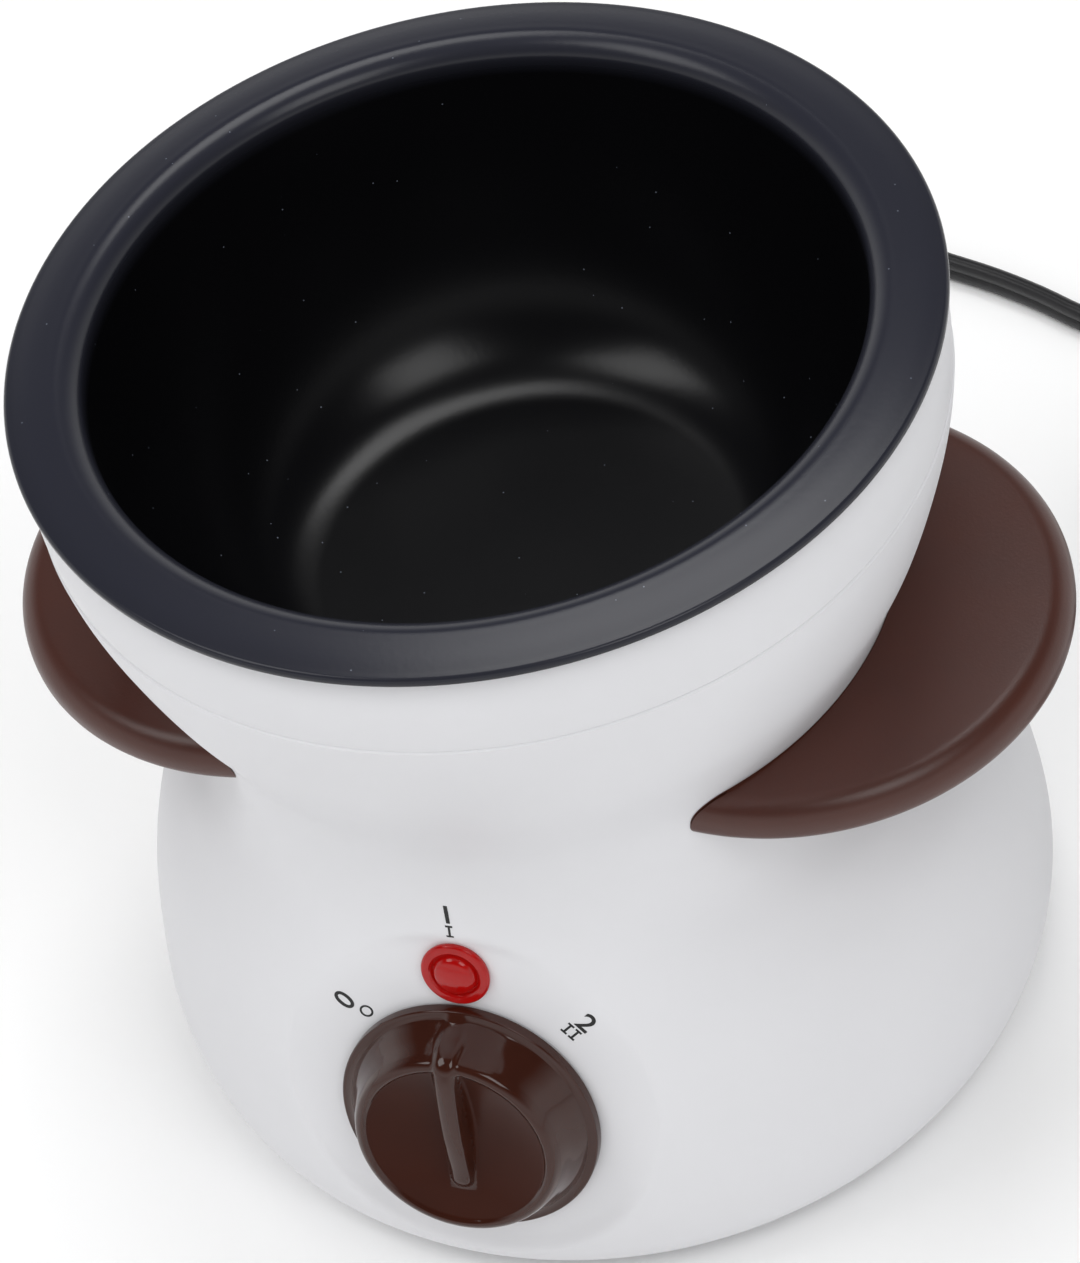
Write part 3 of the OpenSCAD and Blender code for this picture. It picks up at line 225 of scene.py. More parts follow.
def clouded(name, shades, roughness, grain_mm, depth_mm, cloud_mm=18, stretch=(1, 1, 1), **fixed):
    """A clouded, grained surface. Fixed sets more of the shader's sockets, such as Metallic."""
    material = bpy.data.materials.new(name)
    material.use_nodes = True
    tree = material.node_tree
    tree.nodes.clear()
    place = add_node(tree, "ShaderNodeTexCoord").outputs["Object"]
    place = add_node(tree, "ShaderNodeMapping", {"Vector": place, "Scale": stretch}).outputs[0]
    cloud, grain = [add_node(tree, "ShaderNodeTexNoise", {
        "Vector": place, "Scale": 1 / (size * MM), "Detail": detail}).outputs["Fac"]
        for size, detail in ((cloud_mm, 3.0), (grain_mm, 2.0))]
    colour = colour_mix(tree, cloud, *map(linear, shades))
    rough = add_node(tree, "ShaderNodeMapRange", {
        "Value": cloud, "To Min": roughness[0], "To Max": roughness[1]}).outputs[0]
    bump = add_node(tree, "ShaderNodeBump", {
        "Height": grain, "Distance": depth_mm * MM, "Strength": 1.0}).outputs[0]
    shader = add_node(tree, "ShaderNodeBsdfPrincipled", {
        "Base Color": colour, "Roughness": rough, "Normal": bump, **socket_names(fixed)})
    add_node(tree, "ShaderNodeOutputMaterial", {"Surface": shader.outputs[0]})
    return material


# %% [markdown]
# ### The pot's finishes
#
# The base is injection-moulded polypropylene with a satin skin: nearly white, a soft highlight, a
# grain too fine to see from arm's length. The wings are the same plastic in brown, moulded in a
# spark-eroded tool, which gives them a fine matt grain. The knob is polished ABS and mirrors the
# room. The lead and the plug are soft PVC.

# %% Plastics
white_polypropylene = clouded(
    "white_polypropylene_satin", ("DFDFE2", "DADADD"), (0.42, 0.48),
    grain_mm=0.5, depth_mm=0.004, cloud_mm=30, IOR=1.49, Specular_IOR_Level=0.3)
brown_polypropylene = clouded(
    "brown_polypropylene_spark_grained", ("4A2318", "411D13"), (0.32, 0.38),
    grain_mm=0.45, depth_mm=0.02, cloud_mm=12, IOR=1.49, Specular_IOR_Level=0.55)
brown_abs = clouded(
    "brown_abs_polished", ("3A1B11", "32160E"), (0.07, 0.11),
    grain_mm=6, depth_mm=0.004, cloud_mm=9, IOR=1.53, Specular_IOR_Level=0.4)
# The dish's copy of the finish: satin, a shade darker, and with its reflection turned far down as a painted
# shade for the dark room that the dish mirrors.
dish_painted_shade = clouded(
    "brown_abs_dish_satin_painted_shade", ("3A1A10", "32160E"), (0.12, 0.18),
    grain_mm=6, depth_mm=0.004, cloud_mm=9, IOR=1.53, Specular_IOR_Level=0.08)
# Each row: IOR, name, shades, roughness, grain, its depth and, where given, clouds in millimetres.
black_pvc, plug_pvc, cream_nylon, phenolic, tie_nylon, foot_silicone = [
    clouded(*row, IOR=ior) for ior, *row in (
        (1.52, "black_pvc_extruded", ("141417", "0E0E10"), (0.34, 0.42), 0.8, 0.008, 8),
        (1.52, "black_pvc_moulded", ("161618", "101012"), (0.4, 0.5), 0.35, 0.012, 10),
        (1.53, "cream_nylon_moulded", ("E6DFCF", "DDD5C3"), (0.4, 0.5), 0.6, 0.006),
        (1.6, "black_phenolic_pressed", ("1B1A1A", "131212"), (0.35, 0.45), 0.7, 0.006),
        (1.53, "black_nylon_band", ("1A1A1C", "141416"), (0.5, 0.6), 0.5, 0.015),
        (1.41, "grey_silicone_moulded", ("2A2A2C", "232325"), (0.6, 0.7), 0.5, 0.015))]

# %% [markdown]
# ### The bowl's coating
#
# The bowl is pressed aluminium with a sprayed non-stick coating: slate black, satin, with a faint
# orange-peel skin and fine pale specks in it. Its low IOR is that of fluoropolymers, which is why
# the deep bowl stays so black. The rim is painted paler than the inside: a painted sheen for the
# light that the open rim catches while the deep bowl lies in shade, so the colour changes with
# height. The specks are cells of a Voronoi pattern: its random colour picks
# one cell in ten, and the distance to the cell's middle keeps the speck small.

# %% Coating with specks and a painted rim sheen
SPECK_SHARE = 0.1


def speckled_coating(name, speck_mm, speck_spacing_mm, sheen_from_mm, sheen_full_mm):
    """A satin sprayed coating whose rim is painted paler, a painted sheen against the shade inside, with pale
    specks of that radius.
    """
    material = clouded(name, ("09090B", "070709"), (0.22, 0.27), grain_mm=0.9, depth_mm=0.01,
                       cloud_mm=22, IOR=1.36)
    tree = material.node_tree
    shader = next(n for n in tree.nodes if n.type == "BSDF_PRINCIPLED")
    inner = shader.inputs["Base Color"].links[0].from_socket
    place = next(n for n in tree.nodes if n.type == "TEX_COORD").outputs["Object"]
    height = add_node(tree, "ShaderNodeSeparateXYZ", {"Vector": place}).outputs["Z"]
    # Painted sheen: over these heights the colour turns from the dark inside to a paler rim shade, standing
    # in for the light that the open rim catches.
    painted_rim_sheen = add_node(tree, "ShaderNodeMapRange", {
        "Value": height, "From Min": sheen_from_mm * MM, "From Max": sheen_full_mm * MM}).outputs[0]
    base = colour_mix(tree, painted_rim_sheen, inner, linear("272831"))
    cells = add_node(tree, "ShaderNodeTexVoronoi", {
        "Vector": place, "Scale": 1 / (speck_spacing_mm * MM)}).outputs
    near = maths(tree, "LESS_THAN", cells["Distance"], speck_mm / speck_spacing_mm)
    hue = add_node(tree, "ShaderNodeSeparateColor", {0: cells["Color"]}).outputs[0]
    speck = maths(tree, "MULTIPLY", near, maths(tree, "LESS_THAN", hue, SPECK_SHARE))
    colour = colour_mix(tree, speck, base, linear("6A707C"))
    tree.links.new(colour, shader.inputs["Base Color"])
    return material


# The rim's painted sheen fades in between these two heights, in millimetres.
slate_coating = speckled_coating("slate_non_stick_coating", speck_mm=0.12, speck_spacing_mm=1.6,
                                 sheen_from_mm=140, sheen_full_mm=145)

# %% [markdown]
# ### Metals and other inner materials
#
# Inside are spun aluminium, zinc-plated steel, brass, mica, a resistance ribbon and insulated
# wires. Metals keep the default IOR. A stretched grain draws the fine lines that rolling leaves.

# %% Metals, mica, wires
# Each row: name, shades, roughness, grain, its depth and clouds in millimetres.
zinc_steel, nickel, brass = [clouded(*row, Metallic=1.0) for row in (
    ("steel_zinc_plated", ("B9BCC1", "A7ABB2"), (0.25, 0.38), 0.7, 0.005, 4),
    ("brass_nickel_plated", ("CBC8C0", "C0BDB5"), (0.14, 0.2), 1.2, 0.003, 5),
    ("brass_stamped", ("C9A24E", "B98F3F"), (0.25, 0.35), 0.6, 0.005, 4))]
aluminium = clouded("aluminium_spun", ("C9CCCF", "BFC2C6"), (0.28, 0.36), grain_mm=0.6,
                    depth_mm=0.006, stretch=(1, 1, 6), Metallic=1.0)
ribbon_metal = clouded("resistance_ribbon_rolled", ("7F8186", "6A6C72"), (0.35, 0.5), grain_mm=0.5,
                       depth_mm=0.006, stretch=(6, 1, 1), Metallic=1.0)
mica = clouded("mica_pressed", ("BFA877", "A98F5E"), (0.35, 0.5), grain_mm=1.4,
               depth_mm=0.02, cloud_mm=5, IOR=1.58)
fuse_ceramic = clouded("ceramic_fired", ("DAD5C6", "CFC9B8"), (0.45, 0.6), grain_mm=0.5,
                       depth_mm=0.01, IOR=1.6)

# The wires' extruded silicone insulation, in the colour of each wire.
wire_colours = {
    node: clouded(colour + "_silicone_insulation", shades, (0.38, 0.46), grain_mm=0.9,
                  depth_mm=0.006, cloud_mm=6, IOR=1.43)
    for node, colour, *shades in (
        ("supply_cores", "brown", "6B4A34", "60412D"), ("wire_live", "chestnut", "7A4A2A", "6D4124"),
        ("wire_heater", "red", "B23526", "A22E20"), ("wire_neutral", "blue", "2F5FA8", "285394"),
        ("link_wire", "cream", "D8D3C4", "CAC4B3"), ("lamp_leads", "white", "D9D9D6", "CDCDC9"))}

# %% [markdown]
# ### The lamp's lens
#
# The indicator is clear red polycarbonate over a small neon lamp. Lit, it glows from within and
# tints the white plastic round it. The lens is drawn as a glossy red body that gives off a little
# red light, because light through real clear plastic of this size takes long to settle.

# %% Lens and bulb
red_polycarbonate = clouded(
    "red_polycarbonate_lit", ("9C0A0A", "860606"), (0.05, 0.09),
    grain_mm=3, depth_mm=0.004, cloud_mm=3, IOR=1.58,
    Emission_Color=linear("FF1408"), Emission_Strength=0.07, Specular_IOR_Level=0.3)
bulb_glass = clouded("glass_bulb", ("FFE2C8", "FFD8B8"), (0.03, 0.06), grain_mm=3,
                     depth_mm=0.002, cloud_mm=3, IOR=1.5, Transmission_Weight=0.8)
printing_ink = clouded("black_pad_print_ink", ("0E0E10", "141416"), (0.5, 0.6), grain_mm=0.3,
                       depth_mm=0.004, cloud_mm=2, IOR=1.5)
print("materials:", len(bpy.data.materials))

# %% [markdown]
# ## The mains lead
#
# The lead is a flat twin cord, 5.4 mm wide, standing on its edge: two round cores side by side
# with a groove between them. It leaves the back, drops to the table, runs out of the picture to the
# right, and its unseen length is wound into a coil in two layers, with the plug beside it. Its
# middle line is a list of points, then the coil's formula, and the section is swept
# along it with its wide side kept upright. A curve object could do the same, but a mesh gives the
# groove its exact place.

# %% Route of the lead
CORD_ROUTE = [
    (0, 0.097, 0.012), (0, 0.104, 0.0115), (-0.0015, 0.112, 0.009), (-0.005, 0.12, 0.006),
    (-0.0095, 0.128, 0.004), (-0.0125, 0.136, 0.003), (-0.012, 0.144, 0.003),
    (-0.008, 0.151, 0.003), (-0.002, 0.1565, 0.003), (0.0055, 0.16, 0.003),
    (0.013, 0.1613, 0.003), (0.021, 0.1592, 0.003), (0.03, 0.1564, 0.003),
    (0.039, 0.1528, 0.003), (0.048, 0.1485, 0.003), (0.058, 0.1455, 0.003),
    (0.068, 0.1435, 0.003), (0.078, 0.1425, 0.0035), (0.088, 0.142, 0.004),
    (0.097, 0.142, 0.004)]
CORD_WIDTH = 5.4
COIL_R = 33.5
COIL_STEP = 4.1
COIL_LAYER = 6
COIL_LOOPS = 4.25
COIL_RINGS = 24
TURN_BACK = 2
CLIMB_HALF = 0.25
LEAD_TO_PLUG = 34
PLUG_THICK = 13.7

route = np.array(CORD_ROUTE) / MM
coil_middle = route[-1] + [CORD_WIDTH, -COIL_R, 0]


def eased(t):
    """A smooth step from 0 to 1."""
    t = min(max(t, 0), 1)
    return t * t * (3 - 2 * t)


def coil_point(n):
    """A point of the coil after n loops: in on the lower layer, a climb, out on the upper one."""
    r = COIL_R - COIL_STEP * (TURN_BACK - abs(n - TURN_BACK))
    angle = math.radians(90 - 360 * n)
    height = COIL_LAYER * eased((n - TURN_BACK + CLIMB_HALF) / (2 * CLIMB_HALF))
    return coil_middle + [r * math.cos(angle), r * math.sin(angle), height]


coil = np.array([coil_point(i / COIL_RINGS) for i in range(int(COIL_LOOPS * COIL_RINGS) + 1)])
plug_rear = np.array([coil[-1][0], coil[-1][1] - LEAD_TO_PLUG, PLUG_THICK / 2])
lead_in = [coil[-1] + [0, (CORD_WIDTH - LEAD_TO_PLUG) * t, (plug_rear[2] - coil[-1][2]) * eased(t)]
           for t in (0.3, 0.6)]
cord_path = smooth_line(np.vstack([route, coil, lead_in, [plug_rear + [0, CORD_WIDTH, 0], plug_rear]]), 3)

# %% Sweep of the lead
CORE_R = 1.55
CORE_STEP = 1.15


def twin_section():
    """Two round cores, one over the other, joined at their groove: (across, up) in millimetres."""
    groove = math.degrees(math.asin(CORE_STEP / CORE_R))
    upper = arc(0, CORE_STEP, CORE_R, -groove, 180 + groove, 14)
    lower = arc(0, -CORE_STEP, CORE_R, 180 - groove, 360 + groove, 14)
    return np.vstack([upper[:-1], lower[:-1]])


def swept(path, outline, start, end):
    """Sweeps an outline along a path, its up side kept upright. start and end face its two ends."""
    tangents = np.gradient(path, axis=0)
    tangents[0] = start
    tangents[-1] = end
    tangents /= np.linalg.norm(tangents, axis=1)[:, None]
    side = np.cross(tangents, [0, 0, 1])
    side /= np.linalg.norm(side, axis=1)[:, None]
    up = np.cross(side, tangents)
    rings = (path[:, None] + outline[None, :, :1] * side[:, None] + outline[None, :, 1:] * up[:, None])
    count = len(outline)
    faces = grid_faces(len(path), count)
    faces += [tuple(range(count)), tuple((len(path) - 1) * count + k for k in reversed(range(count)))]
    return rings.reshape(-1, 3), faces


flex = show("mains_lead", swept(cord_path, twin_section(), (0, 1, 0), (0, -1, 0)), black_pvc,
            "base_unit", ("power_cord", "cord_coil"))

# %% [markdown]
# ## Bushing with its bend relief
#
# Where the lead leaves the back, a soft PVC bushing grips the wall with two flanges and guards the
# cord with a tapered tail. Its ribs let it bend. The bushing is turned, and Geometry Nodes set the
# ribs: one ring in a row of points, the way a maker would pattern them in a drawing.

# %% Geometry Nodes: pieces on a ring, pieces in a row
def node_tree(name, inputs):
    """A Geometry Nodes tree with inputs by name and kind: the tree, and its input sockets."""
    tree = bpy.data.node_groups.new(name, "GeometryNodeTree")
    tree.interface.new_socket("Geometry", in_out="INPUT", socket_type="NodeSocketGeometry")
    for label, kind in inputs.items():
        tree.interface.new_socket(label, in_out="INPUT", socket_type="NodeSocket" + kind)
    tree.interface.new_socket("Geometry", in_out="OUTPUT", socket_type="NodeSocketGeometry")
    return tree, add_node(tree, "NodeGroupInput").outputs


def close_tree(tree, geometry, material):
    """Ends a tree: instances made real, the finish set, and the result put out."""
    real = add_node(tree, "GeometryNodeRealizeInstances", {"Geometry": geometry})
    dressed = add_node(tree, "GeometryNodeSetMaterial", {"Geometry": real.outputs[0], "Material": material})
    add_node(tree, "NodeGroupOutput", {"Geometry": dressed.outputs[0]})
    return tree


def ring_tree():
    """Copies of the piece on a ring: Count of them, Radius from the axis, the first at First Angle."""
    tree, given = node_tree("pieces_on_a_ring", {
        "Count": "Int", "Radius": "Float", "First Angle": "Float", "Material": "Material"})
    line = add_node(tree, "GeometryNodeMeshLine", {"Count": given["Count"], "Offset": (0, 0, 0)})
    share = maths(tree, "DIVIDE", add_node(tree, "GeometryNodeInputIndex").outputs[0], given["Count"])
    turn = maths(tree, "MULTIPLY_ADD", share, 2 * math.pi, given["First Angle"])
    spot = add_node(tree, "ShaderNodeCombineXYZ", {
        "X": maths(tree, "COSINE", turn), "Y": maths(tree, "SINE", turn)})
    place = add_node(tree, "ShaderNodeVectorMath", {0: spot.outputs[0], "Scale": given["Radius"]},
                     operation="SCALE")
    spread = add_node(tree, "GeometryNodeSetPosition", {
        "Geometry": line.outputs[0], "Position": place.outputs[0]})
    turned_by = add_node(tree, "ShaderNodeCombineXYZ", {"Z": turn})
    copies = add_node(tree, "GeometryNodeInstanceOnPoints", {
        "Points": spread.outputs[0], "Instance": given["Geometry"], "Rotation": turned_by.outputs[0]})
    return close_tree(tree, copies.outputs[0], given["Material"])


def row_tree():
    """Copies of the piece in a row: Count of them, Step apart, each Shrink times as wide as the last."""
    tree, given = node_tree("pieces_in_a_row", {
        "Count": "Int", "Step": "Vector", "Shrink": "Float", "Material": "Material"})
    row = add_node(tree, "GeometryNodeMeshLine", {"Count": given["Count"], "Offset": given["Step"]})
    size = maths(tree, "POWER", given["Shrink"], add_node(tree, "GeometryNodeInputIndex").outputs[0])
    scale = add_node(tree, "ShaderNodeCombineXYZ", {"X": size, "Y": size, "Z": 1.0})
    copies = add_node(tree, "GeometryNodeInstanceOnPoints", {
        "Points": row.outputs[0], "Instance": given["Geometry"], "Scale": scale.outputs[0]})
    return close_tree(tree, copies.outputs[0], given["Material"])


ring_of = ring_tree()
row_of = row_tree()


def grown(name, mesh, tree, **values):
    """Runs a tree on a mesh and gives back the plain mesh that it makes."""
    base = linked(name + "_base", mesh)
    modifier = base.modifiers.new("nodes", "NODES")
    modifier.node_group = tree
    sockets = {s.name: s.identifier for s in tree.interface.items_tree if s.in_out == "INPUT"}
    for label, value in socket_names(values).items():
        modifier[sockets[label]] = value
    evaluated = base.evaluated_get(bpy.context.evaluated_depsgraph_get())
    result = bpy.data.meshes.new_from_object(evaluated)
    result.name = name
    base.modifiers.remove(modifier)
    bpy.data.objects.remove(base)
    return result


def moved(mesh, change):
    """Moves a mesh's points by a 4x4 matrix."""
    mesh.transform(change)
    return mesh


def along_y(spot, way=1):
    """The matrix that lays a piece's axis along Y, or against it with way -1, at a spot in mm."""
    return Matrix.Translation(Vector(spot) * MM) @ Matrix(
        ((1, 0, 0, 0), (0, 0, way, 0), (0, -way, 0, 0), (0, 0, 0, 1)))


# %% Bushing
EXIT_Z = 12
GLAND_INNER_Y = 66.2
GLAND_WALL_Y = 72.9
GLAND_R = 4.6
FLANGE_R = 6.6
TAIL_END_Y = 97
TAIL_TIP_R = 3.5
RIB_COUNT = 7
RIB_STEP = 2.6
RIB_R = 3.9
RIB_HALF = 0.75
FIRST_RIB = 4.4

bushing_section = section(
    [(0, GLAND_INNER_Y), (FLANGE_R - 0.6, GLAND_INNER_Y)],
    arc(FLANGE_R - 0.6, GLAND_INNER_Y + 0.6, 0.6, -90, 0),
    [(FLANGE_R, GLAND_INNER_Y + 1.8), (GLAND_R, GLAND_INNER_Y + 1.9), (GLAND_R, GLAND_WALL_Y),
     (FLANGE_R, GLAND_WALL_Y + 0.05)],
    arc(FLANGE_R - 0.8, GLAND_WALL_Y + 1.2, 0.8, 0, 90),
    [(GLAND_R - 0.3, GLAND_WALL_Y + 2.2), (TAIL_TIP_R - 0.2, TAIL_END_Y - 0.4),
     (TAIL_TIP_R - 0.6, TAIL_END_Y), (0, TAIL_END_Y)])
at_exit = along_y((0, 0, EXIT_Z))
show("cord_bushing", moved(mesh_of("cord_bushing", *turned(bushing_section, 64)), at_exit),
     black_pvc, "base_unit", ("cord_gland",))


def ribs(name, radius, half, columns, first, at, material, slot, **row):
    """Rings in a row round a cord's tail, the first of them that far along it."""
    rib = mesh_of(name + "_one", *turned(section(arc(radius, 0, half, 0, 360, 12))[:-1], columns, loop=True))
    rings = grown(name, rib, row_of, Material=material, **row)
    show(name, moved(moved(rings, Matrix.Translation((0, 0, first * MM))), at), material, "base_unit")


ribs("bushing_ribs", RIB_R, RIB_HALF, 48, GLAND_WALL_Y + FIRST_RIB, at_exit, black_pvc, "lead_black",
     Count=RIB_COUNT, Step=(0, 0, RIB_STEP * MM), Shrink=0.965)

# %% [markdown]
# ## The bowl
#
# The bowl is one pressed sheet with a wide rim: a flat floor that bends softly into an elliptic
# side, a rounded lip, a softly crowned rim that falls outwards, and a turned-down edge. The crown
# spreads the light over the rim's width. It is a turned section with many columns, so that the long
# highlights run clean. A subdivision surface would pull in the thin rim's edge.

# %% Bowl
RIM_R = 70
RIM_Z = 144.5
RIM_UNDER_Z = 143.1
MOUTH_R = 58.2
FLOOR_R = 32.6
LIP_Z = 142.6
LIP_BEND = 3
LIP_UNDER_END = 83  # degrees
LIP_TOP_Z = 145.56
BOWL_DEPTH = 49.5
SHEET = 1.2
RIM_EDGE_BEND = 0.8
RIM_UNDER_BEND = 0.36
RIM_SLOPE = 11  # degrees


def bowl_side(out, down, steps=60):
    """Floor edge to lip: a quarter of an ellipse, grown outwards and down."""
    a = np.radians(np.linspace(0, 90, steps + 1))
    return np.column_stack([FLOOR_R + (MOUTH_R + out - FLOOR_R) * np.sin(a),
                            LIP_Z - (BOWL_DEPTH + down) * np.cos(a)])


floor_z = LIP_Z - BOWL_DEPTH
rim_line = smooth_line([
    (MOUTH_R, LIP_Z - 0.9), (MOUTH_R + 0.35, LIP_Z + 0.8), (MOUTH_R + 1.6, LIP_Z + 2.15),
    (MOUTH_R + 3.4, LIP_TOP_Z - 0.06), (MOUTH_R + 5.4, LIP_TOP_Z - 0.16), (MOUTH_R + 8, LIP_TOP_Z - 0.5),
    (RIM_R - RIM_EDGE_BEND - 0.4, RIM_Z + 0.06)], 6)
bowl_section = section(
    [(0, floor_z), (FLOOR_R * 0.5, floor_z)], bowl_side(0, 0)[:-1], rim_line,
    arc(RIM_R - RIM_EDGE_BEND, RIM_Z - RIM_EDGE_BEND, RIM_EDGE_BEND, 90 - RIM_SLOPE, 0, 10),
    arc(RIM_R - RIM_UNDER_BEND, RIM_UNDER_Z + 0.3, RIM_UNDER_BEND, 0, -180, 6),
    [(RIM_R - SHEET, RIM_Z - SHEET)],
    arc(MOUTH_R + LIP_BEND, LIP_Z, LIP_BEND - SHEET, 180, LIP_UNDER_END, 8)[::-1],
    bowl_side(SHEET, SHEET)[::-1], [(FLOOR_R * 0.5, floor_z - SHEET), (0, floor_z - SHEET)])
show("bowl", turned(bowl_section, 256), slate_coating, "melting_pot", ("pot",), sharp=50)

# %% [markdown]
# ## The base's outline
#
# The white base bulges at the foot, narrows to a waist and flares again under the rim. Its outline
# is a smooth line through eighteen points read from the photograph's silhouette. Both the shell
# and the ring above the joint line follow this one outline, as the two real mouldings do.

# %% Outline of the base
BODY_POINTS = [
    (67.39, 2), (71.89, 8.4), (73.6, 17.2), (72.7, 28), (70.72, 40), (67.21, 50.8),
    (62.08, 60), (57.706, 67.6), (55.906, 74.8), (55.6, 82), (56.566, 89.3),
    (59.395, 96.9), (62.776, 104.5), (65.881, 113.62), (68.296, 122.74),
    (69.4, 131.25), (69.193, 137.33), (67.606, 142.8)]
BASE_Z = 2
SEAM_Z = 128
COLLAR_Z = 142.8
WALL = 2.2
body_line = smooth_line(BODY_POINTS, 40)


def body_r(z):
    """Outer radius of the base at a height."""
    return np.interp(z, body_line[:, 1], body_line[:, 0])


def body_run(low, high, step, inset=0.0):
    """Points of the outline between two heights, drawn in by inset."""
    z = np.linspace(low, high, max(2, int(abs(high - low) / step) + 1))
    return np.column_stack([body_r(z) - inset, z])


# %% [markdown]
# ## The shell and its panel
#
# The shell is an injection moulding. The panel is a flat facet, as if a round cutter had shaved the
# bulge, and its edge melts into the curve. A boolean cut would give a hard edge and long triangles.
# Here each point in front of the panel's plane is pulled back onto it by a smooth minimum of its
# distance to the plane and its distance inside the facet's circle, which rounds the edge like the
# mould does. The columns are closer together at the front, where the facet's edge needs them.

# %% Frame of the panel
PANEL_TILT = math.radians(15)
PANEL_R = 30.5
PANEL_RISE = 3
panel_at = np.array([0, -64.8, 37.1])
panel_out = np.array([0, -math.cos(PANEL_TILT), math.sin(PANEL_TILT)])
panel_up = np.array([0, math.sin(PANEL_TILT), math.cos(PANEL_TILT)])
panel_right = np.array([1.0, 0, 0])


def on_panel(points):
    """Points given as (right, up, out) of the panel, in the pot's frame."""
    points = np.asarray(points, float)
    return panel_at + points[:, :1] * panel_right + points[:, 1:2] * panel_up + points[:, 2:] * panel_out


# %% Shell
EDGE_SOFT = 0.45
INNER_SOFT = 0.3
IN_FRONT = 20  # only points this far out towards the panel are shaved
PANEL_TOP_Z = 76
FRONT_HALF = math.radians(36)
SPIGOT_TOP = SEAM_Z + 3
SPIGOT_OUT = 1.3
LEDGE_R = 60.8
LEDGE_Z = 125.3
LEDGE_T = 2.2
SEAM_BEND = 0.5
FOOT_BEND = 0.9


def soft_floor(value, soft):
    """The larger of value and nothing, with its corner rounded over that width."""
    return soft * np.logaddexp(0, value / soft)


def shaved(points, inset=0.0, soft=EDGE_SOFT):
    """Pulls points in front of the panel's plane back onto it, inside the facet's circle."""
    ahead = (points - panel_at) @ panel_out + inset
    across = points - (panel_at + PANEL_RISE * panel_up)
    flat = across - np.outer(across @ panel_out, panel_out)
    inside = PANEL_R + inset - np.linalg.norm(flat, axis=1)
    in_front = points @ panel_out > IN_FRONT
    depth = soft_floor(ahead, soft)
    reach = soft_floor(inside, soft)
    cut = -soft * np.logaddexp(-depth / soft, -reach / soft)
    cut = np.where(in_front, np.maximum(cut, 0), 0)
    return points - cut[:, None] * panel_out


front = np.linspace(-FRONT_HALF, FRONT_HALF, 181)[:-1]
rest_of_ring = np.linspace(FRONT_HALF, 2 * math.pi - FRONT_HALF, 241)[:-1]
columns = np.r_[front, rest_of_ring] - math.pi / 2

outside = section(
    [(body_r(BASE_Z) - FOOT_BEND, BASE_Z)],
    [(body_r(BASE_Z + 0.25) - 0.35, BASE_Z + 0.2)],
    body_run(BASE_Z + FOOT_BEND, PANEL_TOP_Z, 0.8),
    body_run(PANEL_TOP_Z + 1, SEAM_Z - SEAM_BEND, 1.2),
    arc(body_r(SEAM_Z) - SEAM_BEND, SEAM_Z - SEAM_BEND, SEAM_BEND, 20, 90, 4))
inside = section(
    [(body_r(SEAM_Z) - SPIGOT_OUT, SEAM_Z)], [(body_r(SPIGOT_TOP) - SPIGOT_OUT, SPIGOT_TOP)],
    [(body_r(SPIGOT_TOP) - WALL, SPIGOT_TOP)], body_run(SEAM_Z, LEDGE_Z, 1.4, WALL),
    [(LEDGE_R, LEDGE_Z), (LEDGE_R, LEDGE_Z - LEDGE_T)],
    body_run(LEDGE_Z - LEDGE_T, BASE_Z + 1, 2.4, WALL), [(body_r(BASE_Z) - WALL, BASE_Z)])
shell_points = np.vstack([
    shaved(spun(outside, columns)), shaved(spun(inside, columns), WALL, INNER_SOFT)])
shell_faces = grid_faces(len(outside) + len(inside), len(columns), close_rows=True)
shell = show("shell", (shell_points, shell_faces), white_polypropylene, "base_unit", ("housing",))
shell_tree = BVHTree.FromObject(shell, bpy.context.evaluated_depsgraph_get())

# %% [markdown]
# ### The ring above the joint line
#
# A second moulding closes the shell at the top and carries the bowl. It is set in by a few tenths
# of a millimetre, so that the shell's rounded shoulder under it catches a thin line of light. That
# line is the joint that the photograph shows.

# %% Ring above the joint line
NECK_Z = 140
COLLAR_IN = 60.4
COLLAR_LEDGE = 2
COLLAR_STEP = 0.3
SKIRT_R = 63.9
SKIRT_HALF = 0.9
SKIRT_Z = 126.1
collar_section = section(
    [(body_r(SEAM_Z) - SPIGOT_OUT + 0.1, SEAM_Z)], body_run(SEAM_Z, SEAM_Z + 4, 0.8, COLLAR_STEP),
    body_run(SEAM_Z + 5, COLLAR_Z - 0.9, 0.8, COLLAR_STEP),
    arc(body_r(COLLAR_Z) - COLLAR_STEP - 0.7, COLLAR_Z - 0.8, 0.8, 20, 90),
    [(COLLAR_IN + 0.4, COLLAR_Z)], arc(COLLAR_IN + 0.4, COLLAR_Z - 0.4, 0.4, 90, 180, 4),
    [(COLLAR_IN, COLLAR_Z - COLLAR_LEDGE), (SKIRT_R - SKIRT_HALF, COLLAR_Z - COLLAR_LEDGE),
     (SKIRT_R - SKIRT_HALF, SKIRT_Z), (SKIRT_R + SKIRT_HALF, SKIRT_Z),
     (SKIRT_R + SKIRT_HALF, COLLAR_Z - COLLAR_LEDGE), (body_r(NECK_Z) - WALL, COLLAR_Z - COLLAR_LEDGE)],
    body_run(NECK_Z, SPIGOT_TOP + 0.2, 1.4, WALL),
    [(body_r(SPIGOT_TOP) - SPIGOT_OUT + 0.1, SPIGOT_TOP + 0.2)])
show("collar", turned(collar_section, 256, loop=True), white_polypropylene, "base_unit",
     ("collar_ring",))

# %% [markdown]
# ## The well
#
# Under the bowl sits a thin spun aluminium well that carries the heat. It shows when the bowl is
# lifted out, so it is turned again with a rounded bend at its flange.

# %% Well
WELL_GAP = 1
SEAT_GAP = 0.3
WELL_T = 0.8
FLANGE_Z = 125.3
WELL_FLANGE_R = 65.4
BEND = 1.2

